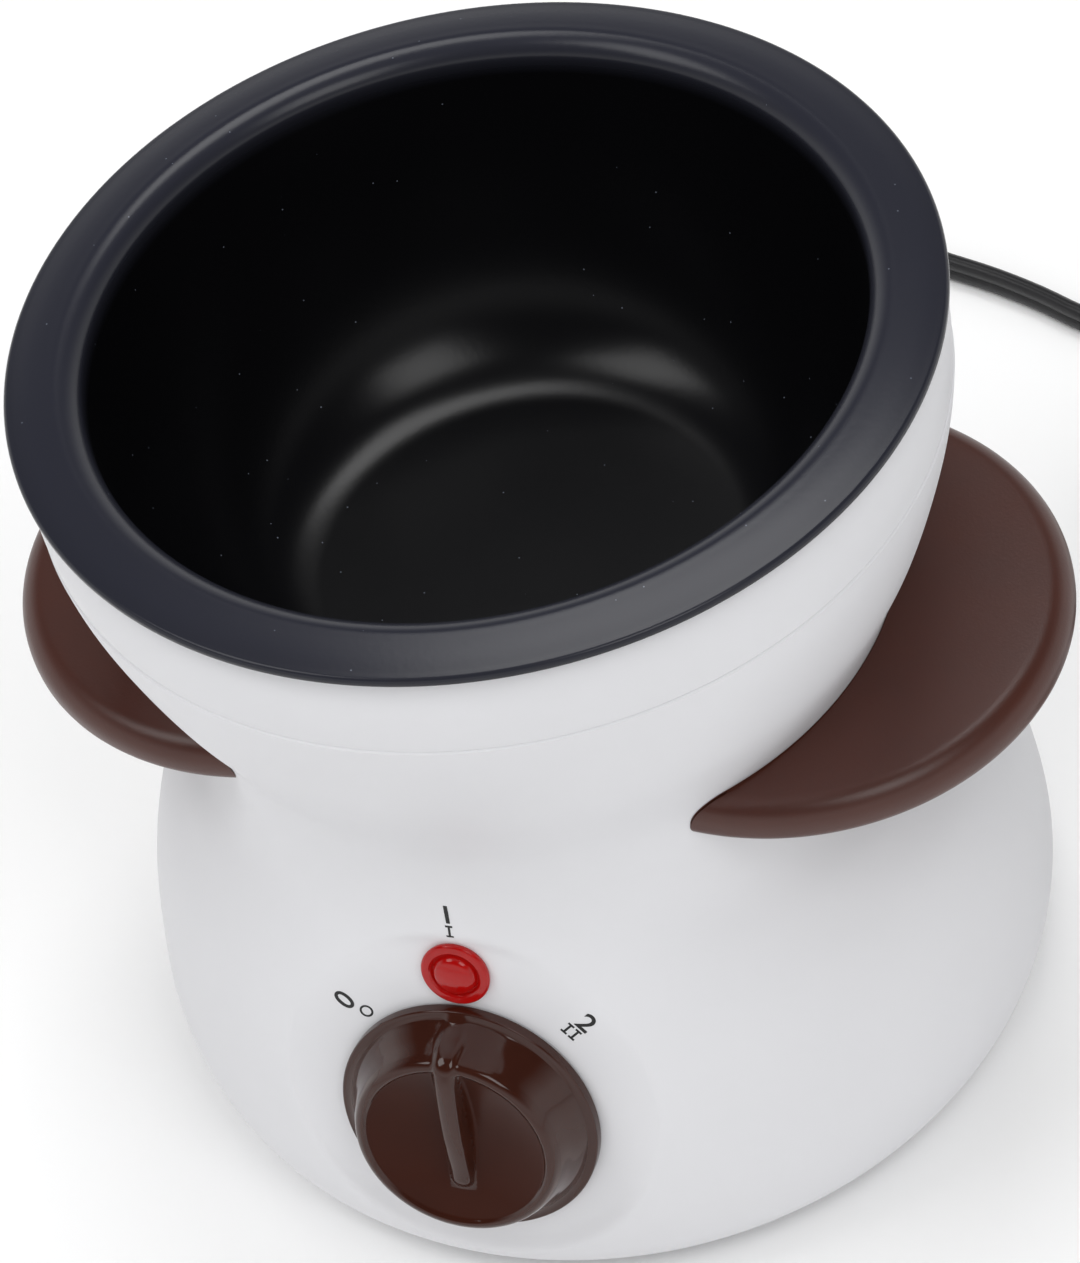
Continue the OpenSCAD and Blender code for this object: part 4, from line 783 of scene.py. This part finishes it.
inner_side = bowl_side(SHEET + WELL_GAP, SHEET + SEAT_GAP)
outer_side = bowl_side(SHEET + WELL_GAP + WELL_T, SHEET + SEAT_GAP + WELL_T)
inner_side = inner_side[inner_side[:, 1] < FLANGE_Z + WELL_T - BEND]
outer_side = outer_side[outer_side[:, 1] < FLANGE_Z - BEND]
well_z = floor_z - SHEET - SEAT_GAP
well_section = section(
    [(0, well_z), (FLOOR_R * 0.5, well_z)], inner_side,
    arc(inner_side[-1][0] + 0.2 + BEND, FLANGE_Z + WELL_T - BEND, BEND, 180, 90, 6),
    [(WELL_FLANGE_R, FLANGE_Z + WELL_T), (WELL_FLANGE_R, FLANGE_Z)],
    [(outer_side[-1][0] + 0.8, FLANGE_Z)], outer_side[::-1],
    [(FLOOR_R * 0.5, well_z - WELL_T), (0, well_z - WELL_T)])
show("well", turned(well_section), aluminium, "base_unit", ("inner_well",))

# %% [markdown]
# ## The wings
#
# Each wing is a slice of a flat disc, moulded with a soft upper edge and fitted closely to the
# waist, with a pointed tip at each end. A boolean of a disc and the base would leave ragged points
# there. The wing is built directly: for each height, the angles are found at which the disc's edge
# meets the waist, and the columns are spread between them, so that every column ends at the tip.
# The top is crowned by less than a millimetre, so that its sheen changes towards the rim.

# %% Wings
WING_R = 43
WING_X = 41.1
WING_Z = 83
WING_T = 7.6
WING_TOP_BEND = 4
WING_UNDER_BEND = 2.4
WING_GAP = 0.1
WING_CROWN = 0.7
WING_COLUMNS = 161
FLAT_ROWS = 14

under_edge = arc(WING_R - WING_UNDER_BEND, WING_Z + WING_UNDER_BEND, WING_UNDER_BEND, -90, 0, 8)
top_edge = arc(WING_R - WING_TOP_BEND, WING_Z + WING_T - WING_TOP_BEND, WING_TOP_BEND, 0, 90, 12)


def tip_angle(radius, z):
    """Angle at the disc's centre where its edge of that radius meets the waist."""
    waist = body_r(z) + WING_GAP
    return math.acos((waist ** 2 - WING_X ** 2 - radius ** 2) / (2 * WING_X * radius))


def waist_line(angles, z):
    """Where rays from the disc's centre meet the waist at a height."""
    waist = body_r(z) + WING_GAP
    reach = np.sqrt(waist ** 2 - (WING_X * np.sin(angles)) ** 2) - WING_X * np.cos(angles)
    return ring_at(reach, z, angles) + [WING_X, 0, 0]


def wing_points():
    """Rows round the wing's section: under side, edge, top, and back along the waist."""
    spread = np.linspace(-1, 1, WING_COLUMNS)
    rim, back = [], []
    for radius, z in np.vstack([under_edge, top_edge]):
        angles = spread * tip_angle(radius, z)
        rim.append(ring_at(radius, z, angles) + [WING_X, 0, 0])
        back.append(waist_line(angles, z))
    inward = np.linspace(0, 1, FLAT_ROWS + 1)[:, None, None]
    under = rim[0] + (back[0] - rim[0]) * inward[::-1]
    top = rim[-1] + (back[-1] - rim[-1]) * inward[1:]
    top[..., 2] -= WING_CROWN * np.clip(np.hypot(top[..., 0] - WING_X, top[..., 1]) / WING_R, 0, 1) ** 2
    for row in rim[len(under_edge):]:
        row[:, 2] -= WING_CROWN * (WING_R - WING_TOP_BEND) ** 2 / WING_R ** 2
    return np.vstack([under.reshape(-1, 3), *rim[1:], top.reshape(-1, 3), *back[-2:0:-1]])


wing = wing_points()
wing_faces = grid_faces(len(wing) // WING_COLUMNS, WING_COLUMNS, close_rows=True, close_columns=False)
for side, way in (("right", 1), ("left", -1)):
    show("wing_" + side, (wing * [way, way, 1], wing_faces), brown_polypropylene, "base_unit",
         ("handle_" + side,), sharp=40)

# %% [markdown]
# ## The knob
#
# The knob is a polished brown cap: a thin skirt, a tapered side, a rounded lip, a dished face, and
# a narrow grip that runs from the skirt over the lip into the dish. Body and grip are one moulding
# whose joints are all rounded. So the knob is a field of heights over circles and angles: the height
# of the turned body and the height of the grip meet in a smooth maximum, which rounds their joint.
# The dish beside the grip gets a rougher copy of the finish, face by face, with its reflection turned
# far down and its colour a shade darker: a painted shade for the darker room that it mirrors.

# %% Knob
KNOB_R = 20.7
KNOB_SIDE_R = 19.1
KNOB_LIP_R = 15.9
KNOB_H = 9.6
KNOB_DISH = 3.2
KNOB_GAP = 0.5
SKIRT_TOP = 2.3
FIN_HALF = 2.1
FIN_RISE = 1.3
FIN_FOOT = 9.4
FIN_SLOPE = 3.6
FIN_ROUND = 0.7
JOINT_SOFT = 0.5
KNOB_COLUMNS = 288
WALL_OUT_R, WALL_IN_R = 17.3, 14.3
BOSS_R, BORE_R = 5, 3.05
HOLLOW_Z, BORE_Z = 4.4, 4.7

dish_r = KNOB_LIP_R ** 2 / (2 * KNOB_DISH)
dish_end = KNOB_LIP_R - 1.6
dish = [(r, KNOB_H - KNOB_DISH + dish_r - math.sqrt(dish_r ** 2 - r * r))
        for r in np.linspace(0, dish_end, 44)]
knob_top = section(
    dish, smooth_line([dish[-1], (KNOB_LIP_R - 0.9, KNOB_H - 0.02), (KNOB_LIP_R + 0.1, KNOB_H - 0.5),
                       (KNOB_LIP_R + 0.75, KNOB_H - 1.7)], 7),
    smooth_line([(KNOB_LIP_R + 0.75, KNOB_H - 1.7), (KNOB_LIP_R + 1.7, KNOB_H - 4.2),
                 (KNOB_SIDE_R - 0.3, SKIRT_TOP + 0.7), (KNOB_SIDE_R + 0.1, SKIRT_TOP)], 9),
    [(KNOB_R - 0.35, SKIRT_TOP)], arc(KNOB_R - 0.35, SKIRT_TOP - 0.35, 0.35, 90, 0, 4))
knob_under = section([
    (KNOB_R, KNOB_GAP), (WALL_OUT_R, KNOB_GAP), (WALL_IN_R, HOLLOW_Z), (BOSS_R, HOLLOW_Z),
    (BOSS_R, KNOB_GAP), (BORE_R, KNOB_GAP), (BORE_R, BORE_Z), (0, BORE_Z)])
GRIP = smooth_line([
    (-FIN_FOOT - 1.2, KNOB_H - KNOB_DISH - 1), (-FIN_FOOT, KNOB_H - KNOB_DISH * 0.5),
    (-FIN_FOOT * 0.55, KNOB_H - KNOB_DISH * 0.2), (1.6, KNOB_H + FIN_RISE * 0.5),
    (9.5, KNOB_H + FIN_RISE), (KNOB_LIP_R - 1.4, KNOB_H + FIN_RISE * 0.78),
    (KNOB_LIP_R + 1.2, KNOB_H - 0.9), (KNOB_SIDE_R - 0.4, SKIRT_TOP + 1.4),
    (KNOB_R, SKIRT_TOP - 1)], 10)


def grip_height(x, y):
    """Height of the grip over a point of the face: its crest, falling away beside its middle line."""
    beside = np.hypot(x, np.minimum(y + FIN_FOOT - FIN_HALF, 0))
    crest = np.interp(y, GRIP[:, 0], GRIP[:, 1])
    crown = FIN_ROUND * (beside / FIN_HALF) ** 2
    return crest - crown - FIN_SLOPE * soft_floor(beside - FIN_HALF * 0.82, 0.2)


def knob_points():
    """Rings of the knob's upper side, lifted where the grip is, then of its hollow under side."""
    angles = np.linspace(0, 2 * math.pi, KNOB_COLUMNS, endpoint=False)
    rows = []
    for r, z in knob_top:
        if r < KNOB_R - 0.3:
            z = JOINT_SOFT * np.logaddexp(
                z / JOINT_SOFT, grip_height(r * np.cos(angles), r * np.sin(angles)) / JOINT_SOFT)
        rows.append(ring_at(r, z, angles))
    return on_panel(np.vstack([*rows, spun(knob_under, angles)]))


knob_faces = grid_faces(len(knob_top) + len(knob_under), KNOB_COLUMNS)
knob = show("knob_cap", (knob_points(), knob_faces), brown_abs, "control", ("knob",),
            sharp=60)
# The dish beside the grip takes the copy with the painted shade.
knob.data.materials.append(dish_painted_shade)
for face in knob.data.polygons:
    ring, column = divmod(face.index, KNOB_COLUMNS)
    turn = 2 * math.pi * (column + 0.5) / KNOB_COLUMNS
    r = dish[ring][0] if ring < len(dish) else KNOB_R
    beside_grip = abs(r * math.cos(turn)) > FIN_HALF or r * math.sin(turn) < -FIN_FOOT
    face.material_index = int(ring < len(dish) and beside_grip)

# %% [markdown]
# ## The lamp
#
# The lens clips into the panel from the front: a flat flange, a groove, and a low dome over the
# neon lamp. It is turned round its own axis, which stands square on the panel.

# %% Lamp
LENS_UP = 26.8
LENS_R = 5.5
LENS_H = 2.2
STEM_R = 4.1
STEM_L = 9
POCKET_R = 2.5
FRONT_T = 1

lens_section = section(
    [(0, -FRONT_T), (POCKET_R, -FRONT_T), (POCKET_R, -STEM_L), (STEM_R, -STEM_L), (STEM_R, 0.02),
     (LENS_R - 0.15, 0.02)],
    arc(LENS_R - 0.55, 0.6, 0.55, -30, 90, 7),
    smooth_line([(LENS_R * 0.76, LENS_H * 0.53), (LENS_R * 0.7, LENS_H * 0.4), (LENS_R * 0.66, LENS_H * 0.24),
                 (LENS_R * 0.62, LENS_H * 0.4)], 4),
    smooth_line([(LENS_R * 0.6, LENS_H * 0.55), (LENS_R * 0.5, LENS_H * 0.8), (LENS_R * 0.25, LENS_H * 0.96),
                 (0, LENS_H)], 6))
lens_points, lens_faces = turned(lens_section, 96)
show("lamp_cap", (on_panel(lens_points + [0, LENS_UP, 0]), lens_faces), red_polycarbonate, "base_unit",
     ("lamp_lens",), sharp=40)

# %% [markdown]
# ## Marks on the panel
#
# The knob's three places are pad-printed: a plain number at each, and nearer the knob a small
# sign: a ring, one stroke, two strokes. The prints are thin: flat outlines laid on the shell point
# by point along the panel's normal, where a ray meets it, and given a skin of ink. They turn with
# the circle.

# %% Flat marks
INK_PROUD = 0.04
DIGIT_H = 3.6
RAY_FROM = 20
STROKE_OUT = 0.75


def flat_mesh(name, body):
    """A text as a flat mesh."""
    curve = bpy.data.curves.new(name, "FONT")
    curve.body = body
    curve.align_x = "CENTER"
    curve.align_y = "CENTER"
    curve.offset = 0.012
    holder = linked(name, curve)
    mesh = bpy.data.meshes.new_from_object(holder.evaluated_get(bpy.context.evaluated_depsgraph_get()))
    bpy.data.objects.remove(holder)
    return mesh


def stroke(at=0.0, height=2.3, width=1.15, thick=0.36):
    """A Roman one with its two feet: corners, and one face round them."""
    w, h, t = width / 2, height / 2, thick / 2
    corners = [(-w, -h), (w, -h), (w, -h + thick), (t, -h + thick), (t, h - thick), (w, h - thick), (w, h),
               (-w, h), (-w, h - thick), (-t, h - thick), (-t, -h + thick), (-w, -h + thick)]
    return [(x + at, y, 0) for x, y in corners], [tuple(range(12))]


def laid(points, angle, radius):
    """Turns a flat mark to its place on the circle and lays it on the shell, in millimetres."""
    turn = math.radians(angle)
    across = np.array([math.cos(turn), -math.sin(turn)])
    outward = np.array([math.sin(turn), math.cos(turn)])
    starts = on_panel([(*(outward * (radius + y) + across * x), RAY_FROM) for x, y, *_ in points])
    return np.array([shell_tree.ray_cast(Vector(start * MM), Vector(-panel_out))[0]
                     for start in starts]) / MM


def ink(name, points, faces, angle, radius):
    """Shows a mark as a closed skin of ink on the shell."""
    low = laid(points, angle, radius)
    count = len(low)
    edges = {pair: None for face in faces for pair in zip(face, face[1:] + face[:1])}
    walls = [(a, b, b + count, a + count) for a, b in edges if (b, a) not in edges]
    tops = [tuple(k + count for k in face) for face in faces]
    bottoms = [tuple(reversed(face)) for face in faces]
    skin = np.vstack([low - panel_out * INK_PROUD, low + panel_out * INK_PROUD])
    show(name, (skin, tops + bottoms + walls), printing_ink, "base_unit")


for digit, angle, radius in (("0", -46, 26.6), ("1", 0, 38.4), ("2", 45, 28.4)):
    flat = flat_mesh("digit_" + digit, digit)
    spots = np.array([v.co[:] for v in flat.vertices])
    low, high = spots.min(0), spots.max(0)
    spots = (spots - (high + low) / 2) * DIGIT_H / (high[1] - low[1])
    ink("digit_" + digit, spots, [tuple(p.vertices) for p in flat.polygons], angle, radius)

first, second = stroke(-STROKE_OUT), stroke(STROKE_OUT)
both = first[0] + second[0], first[1] + [tuple(range(12, 24))]
for name, mark, angle, radius in (("sign_0", turned([(1.12, 0), (0.78, 0)], 32), -43, 23.0),
                                  ("sign_1", stroke(), 0, 35.0), ("sign_2", both, 44, 25.1)):
    ink(name, *mark, angle, radius)

# %% [markdown]
# ## Feet and screws underneath
#
# Four silicone feet and three screws sit on circles under the base. One of each is made, and the
# tree that sets pieces on a ring places the others.

# %% Feet
FOOT_R = 6.5
FOOT_AT = 51.99
PAD_BEND = 0.6
pad_r = FOOT_R * 0.9 - PAD_BEND
foot_section = section(
    [(0, 0), (pad_r, 0)], arc(pad_r, PAD_BEND, PAD_BEND, -90, 0, 5),
    [(FOOT_R, BASE_Z), (FOOT_R - 0.1, BASE_Z), (FOOT_R - 0.1, BASE_Z + 0.6), (0, BASE_Z + 0.6)])


def ring_of_pieces(name, shape, count, radius, first_angle, material, nodes):
    """Shows a ring of one piece under the base."""
    mesh = grown(name, mesh_of(name + "_one", *shape), ring_of, Count=count, Radius=radius * MM,
                 First_Angle=first_angle, Material=material)
    show(name, mesh, material, "base_unit", nodes)


ring_of_pieces("feet", turned(foot_section, 48), 4, FOOT_AT, math.pi / 4, foot_silicone,
               ("rubber_feet",))

# %% Screws of the base
HEAD_R = 2.8
SHANK_R = 1.45
HEAD_H = 1.6
SCREW_AT = 55.99
SHANK_END = 11.6
RECESS = 1.1
CROSS_HALF, CROSS_EDGE = 0.38, 0.06
CROSS_REACH, CROSS_END = 1.6, 0.08


def screw_points(columns=48):
    """A countersunk screw, head down, with a cross recess in its head."""
    angles = np.linspace(0, 2 * math.pi, columns, endpoint=False)
    rows = []
    for r in np.linspace(0, HEAD_R - 0.1, 16):
        x, y = abs(r * np.cos(angles)), abs(r * np.sin(angles))
        deep = 1 / (1 + np.exp((np.minimum(x, y) - CROSS_HALF) / CROSS_EDGE)) / (
            1 + np.exp((np.maximum(x, y) - CROSS_REACH) / CROSS_END))
        rows.append(ring_at(r, BASE_Z + 0.02 + RECESS * deep, angles))
    shank = [(HEAD_R, 0.12), (SHANK_R, HEAD_H), (SHANK_R, SHANK_END), (0, SHANK_END)]
    rows += [ring_at(r, BASE_Z + z, angles) for r, z in shank]
    return np.vstack(rows), grid_faces(len(rows), columns)


ring_of_pieces("base_fixings", screw_points(), 3, SCREW_AT, -math.pi / 2, zinc_steel, ("base_screws",))

# %% [markdown]
# ## The plug
#
# The flat two-pin plug is PVC moulded over its contacts: a broad face with soft edges that tapers
# to the rear, then a ribbed tail. Its body is a row of rounded sections along its length. The pins
# are nickel-plated brass with an insulating sleeve near the body, and a tree sets the pair in a row.

# %% Plug body
PLUG_W = 35.3
PLUG_L = 34
TAIL_L = 12
PLUG_COLUMNS = 64
half_w, half_t = PLUG_W / 2, PLUG_THICK / 2

# Rows of the body: place along it, half its width, half its thickness.
plug_shape = smooth_line([
    (0, half_w - 1.6, 4.4), (0.5, half_w - 0.5, 5.9), (2, half_w, half_t), (7, half_w, half_t),
    (11.5, half_w - 0.4, half_t), (17, 14.2, 6.7), (24, 10.6, 6.5), (31, 7.4, 6.2), (34, 6.2, 5.4),
    (35, 4.9, 4.7)], 4)
TAIL = [(35.4, 4.5), (45.2, 3.5), (46, 3.1), (46, 0)]


def rounded(wide, thick, power):
    """Points of a rounded oblong: power 2 gives an ellipse, a higher one is squarer."""
    a = np.linspace(0, 2 * math.pi, PLUG_COLUMNS, endpoint=False)
    return np.column_stack([size * np.sign(c) * np.abs(c) ** (2 / power)
                            for size, c in ((wide, np.cos(a)), (thick, np.sin(a)))])


plug_face_y = plug_rear[1] - PLUG_L - TAIL_L
rows = [(0, rounded(0, 0, 2))] + [(y, rounded(w, min(t, half_t), 5)) for y, w, t in plug_shape]
rows += [(y, rounded(r, r, 2)) for y, r in TAIL]
plug_points = np.array([(plug_rear[0] + x, plug_face_y + y, plug_rear[2] + z)
                        for y, row in rows for x, z in row])
show("plug_moulding", (plug_points, grid_faces(len(rows), PLUG_COLUMNS)), plug_pvc, "base_unit",
     ("plug_body",), sharp=40)

# %% Ribs of the plug's tail, and its pins
PIN_R = 2
SLEEVE_R = 1.7
SLEEVE_L = 10
PIN_L = 19
PIN_STEP = 18.6
TAIL_RIB_R = 4.1
TAIL_RIB_HALF = 0.6
TAIL_RIB_STEP = 2.2
TAIL_FIRST_RIB = 3.2

at_tail = along_y((plug_rear[0], plug_face_y + PLUG_L + TAIL_FIRST_RIB, plug_rear[2]))
ribs("plug_tail_ribs", TAIL_RIB_R, TAIL_RIB_HALF, 40, 0, at_tail, plug_pvc, "plug_black",
     Count=4, Step=(0, 0, TAIL_RIB_STEP * MM), Shrink=0.95)

off_face = along_y((plug_rear[0] - PIN_STEP / 2, plug_face_y, plug_rear[2]), -1)
pin_section = section([(0, SLEEVE_L - 0.5), (PIN_R - 0.05, SLEEVE_L - 0.5), (PIN_R, SLEEVE_L)],
                      arc(0, PIN_L - PIN_R, PIN_R, 0, 90, 8))
sleeve_section = section([(0, -0.5), (SLEEVE_R, -0.5), (SLEEVE_R, SLEEVE_L), (0, SLEEVE_L)])
for name, outline, material, nodes, slot in (
        ("plug_contacts", pin_section, nickel, ("plug_pins",), "nickel"),
        ("contact_sleeves", sleeve_section, plug_pvc, (), "plug_black")):
    one = mesh_of(name + "_one", *turned(outline, 40))
    pair = grown(name, one, row_of, Count=2, Step=(PIN_STEP * MM, 0, 0), Shrink=1.0, Material=material)
    show(name, moved(pair, off_face), material, "base_unit", nodes)

# %% [markdown]

# %% [markdown]
# ## Finishes of the inner nodes
#
# The imported model's other solids have the right shape already. Each keeps it and gets its real
# material: steel for the screws and the shield, aluminium for the heater's plate, mica, brass tabs,
# and a colour for each wire.

# %% Dress the inner nodes
inner = {name: material for material, names in (
    (zinc_steel, "element_clamp heater_screws shield_spacers heat_shield handle_screws switch_shaft "
     "switch_screws lamp_push_ring terminal_screws cord_clamp_screws"),
    (aluminium, "heater_plate"), (mica, "mica_sheets"), (ribbon_metal, "heating_element"),
    (phenolic, "thermostat"), (fuse_ceramic, "thermal_fuse"), (brass, "switch_terminals"),
    (cream_nylon, "switch_body terminal_block cord_clamp"), (bulb_glass, "lamp_bulb"),
    (white_polypropylene, "base_plate"), (black_pvc, "supply_lead"), (tie_nylon, "cord_tie")
) for name in names.split()} | wire_colours
for name, material in inner.items():
    for place in bpy.data.objects[name].material_slots:
        place.material = material
print("dressed:", len(inner), "nodes")

# %% [markdown]
# ## Floor, background and light
#
# The pot stands on a pale sweep in soft studio light. Where the lamps stand was worked out from the
# photograph's highlights: the two pale patches low on the bowl's far side mirror a softbox on the
# right and one on the left, and the bright line round the bowl's floor mirrors one above. The
# world's white is seen by camera, glossy and transmitted rays, so that gloss shows the same white
# room, which is darker overhead. Matt surfaces get a plain light instead, which grows towards the
# front, as the shading of the photographed base shows.

# %% Floor
FLOOR_HALF = 6.0
floor_plane = bpy.data.meshes.new("floor")
floor_plane.from_pydata([(-FLOOR_HALF, -FLOOR_HALF, 0), (FLOOR_HALF, -FLOOR_HALF, 0),
                         (FLOOR_HALF, FLOOR_HALF, 0), (-FLOOR_HALF, FLOOR_HALF, 0)], [], [(0, 1, 2, 3)])
floor_object = linked("floor", floor_plane)
floor_paper = clouded("white_sweep_paper", ("FEFEFE", "FCFCFC"), (0.85, 0.9), grain_mm=2, depth_mm=0.01,
                      cloud_mm=200, Specular_IOR_Level=0.1)
floor_plane.materials.append(floor_paper)

# %% Room and lamps
HORIZON = 0.25
CEILING = 0.58
FRONT = Vector((0.2, -0.8, 0.5)).normalized()
FILL_BEHIND = 0.04
FILL_FRONT = 0.92

scene.world = bpy.data.worlds.new("room")
scene.world.use_nodes = True
room = scene.world.node_tree
room.nodes.clear()
ray = add_node(room, "ShaderNodeLightPath").outputs
mirror = maths(room, "ADD", ray["Is Glossy Ray"], ray["Is Transmission Ray"])
seen = maths(room, "ADD", ray["Is Camera Ray"], mirror, use_clamp=True)
direction = add_node(room, "ShaderNodeTexCoord").outputs["Generated"]
rise = add_node(room, "ShaderNodeSeparateXYZ", {"Vector": direction}).outputs["Z"]
overhead = add_node(room, "ShaderNodeMapRange", {
    "Value": rise, "From Min": HORIZON, "From Max": CEILING}).outputs[0]
mirrored = maths(room, "MULTIPLY", overhead, mirror, use_clamp=True)
wall_white = colour_mix(room, mirrored, linear("FFFFFF"), linear("3C3C40"))
facing = add_node(room, "ShaderNodeVectorMath", {0: direction, 1: tuple(FRONT)}, operation="DOT_PRODUCT")
fill = add_node(room, "ShaderNodeMapRange", {
    "Value": facing.outputs["Value"], "From Min": -1, "From Max": 1,
    "To Min": FILL_BEHIND, "To Max": FILL_FRONT}).outputs[0]
plain, white = [add_node(room, "ShaderNodeBackground", {"Color": colour, "Strength": strength}).outputs[0]
                for colour, strength in ((linear("FFFFFF"), fill), (wall_white, 1.0))]
mixed = add_node(room, "ShaderNodeMixShader", {0: seen, 1: plain, 2: white})
add_node(room, "ShaderNodeOutputWorld", {"Surface": mixed.outputs[0]})


def softbox(name, way, width, height, radiance, distance=1.3):
    """A soft area lamp in a direction from the pot, turned to it, as bright as its radiance."""
    aim = Vector((0, 0, 0.1))
    place = aim + Vector(way).normalized() * distance
    lamp = bpy.data.lights.new(name, "AREA")
    lamp.shape = "RECTANGLE"
    lamp.size = width
    lamp.size_y = height
    lamp.energy = radiance * math.pi * width * height
    holder = linked(name, lamp)
    look = (aim - place).to_track_quat("-Z", "Y")
    holder.matrix_world = Matrix.Translation(place) @ look.to_matrix().to_4x4()
    print(name, "at", [round(c, 2) for c in place], round(lamp.energy, 1), "W")


softbox("softbox_right", (0.46, -0.34, 0.83), 0.5, 0.55, 3.3)
softbox("softbox_left", (-0.49, -0.24, 0.84), 0.5, 0.55, 3.3)
softbox("softbox_top", (-0.06, 0.37, 0.93), 0.6, 0.55, 4.6)

scene.view_settings.view_transform = "Standard"
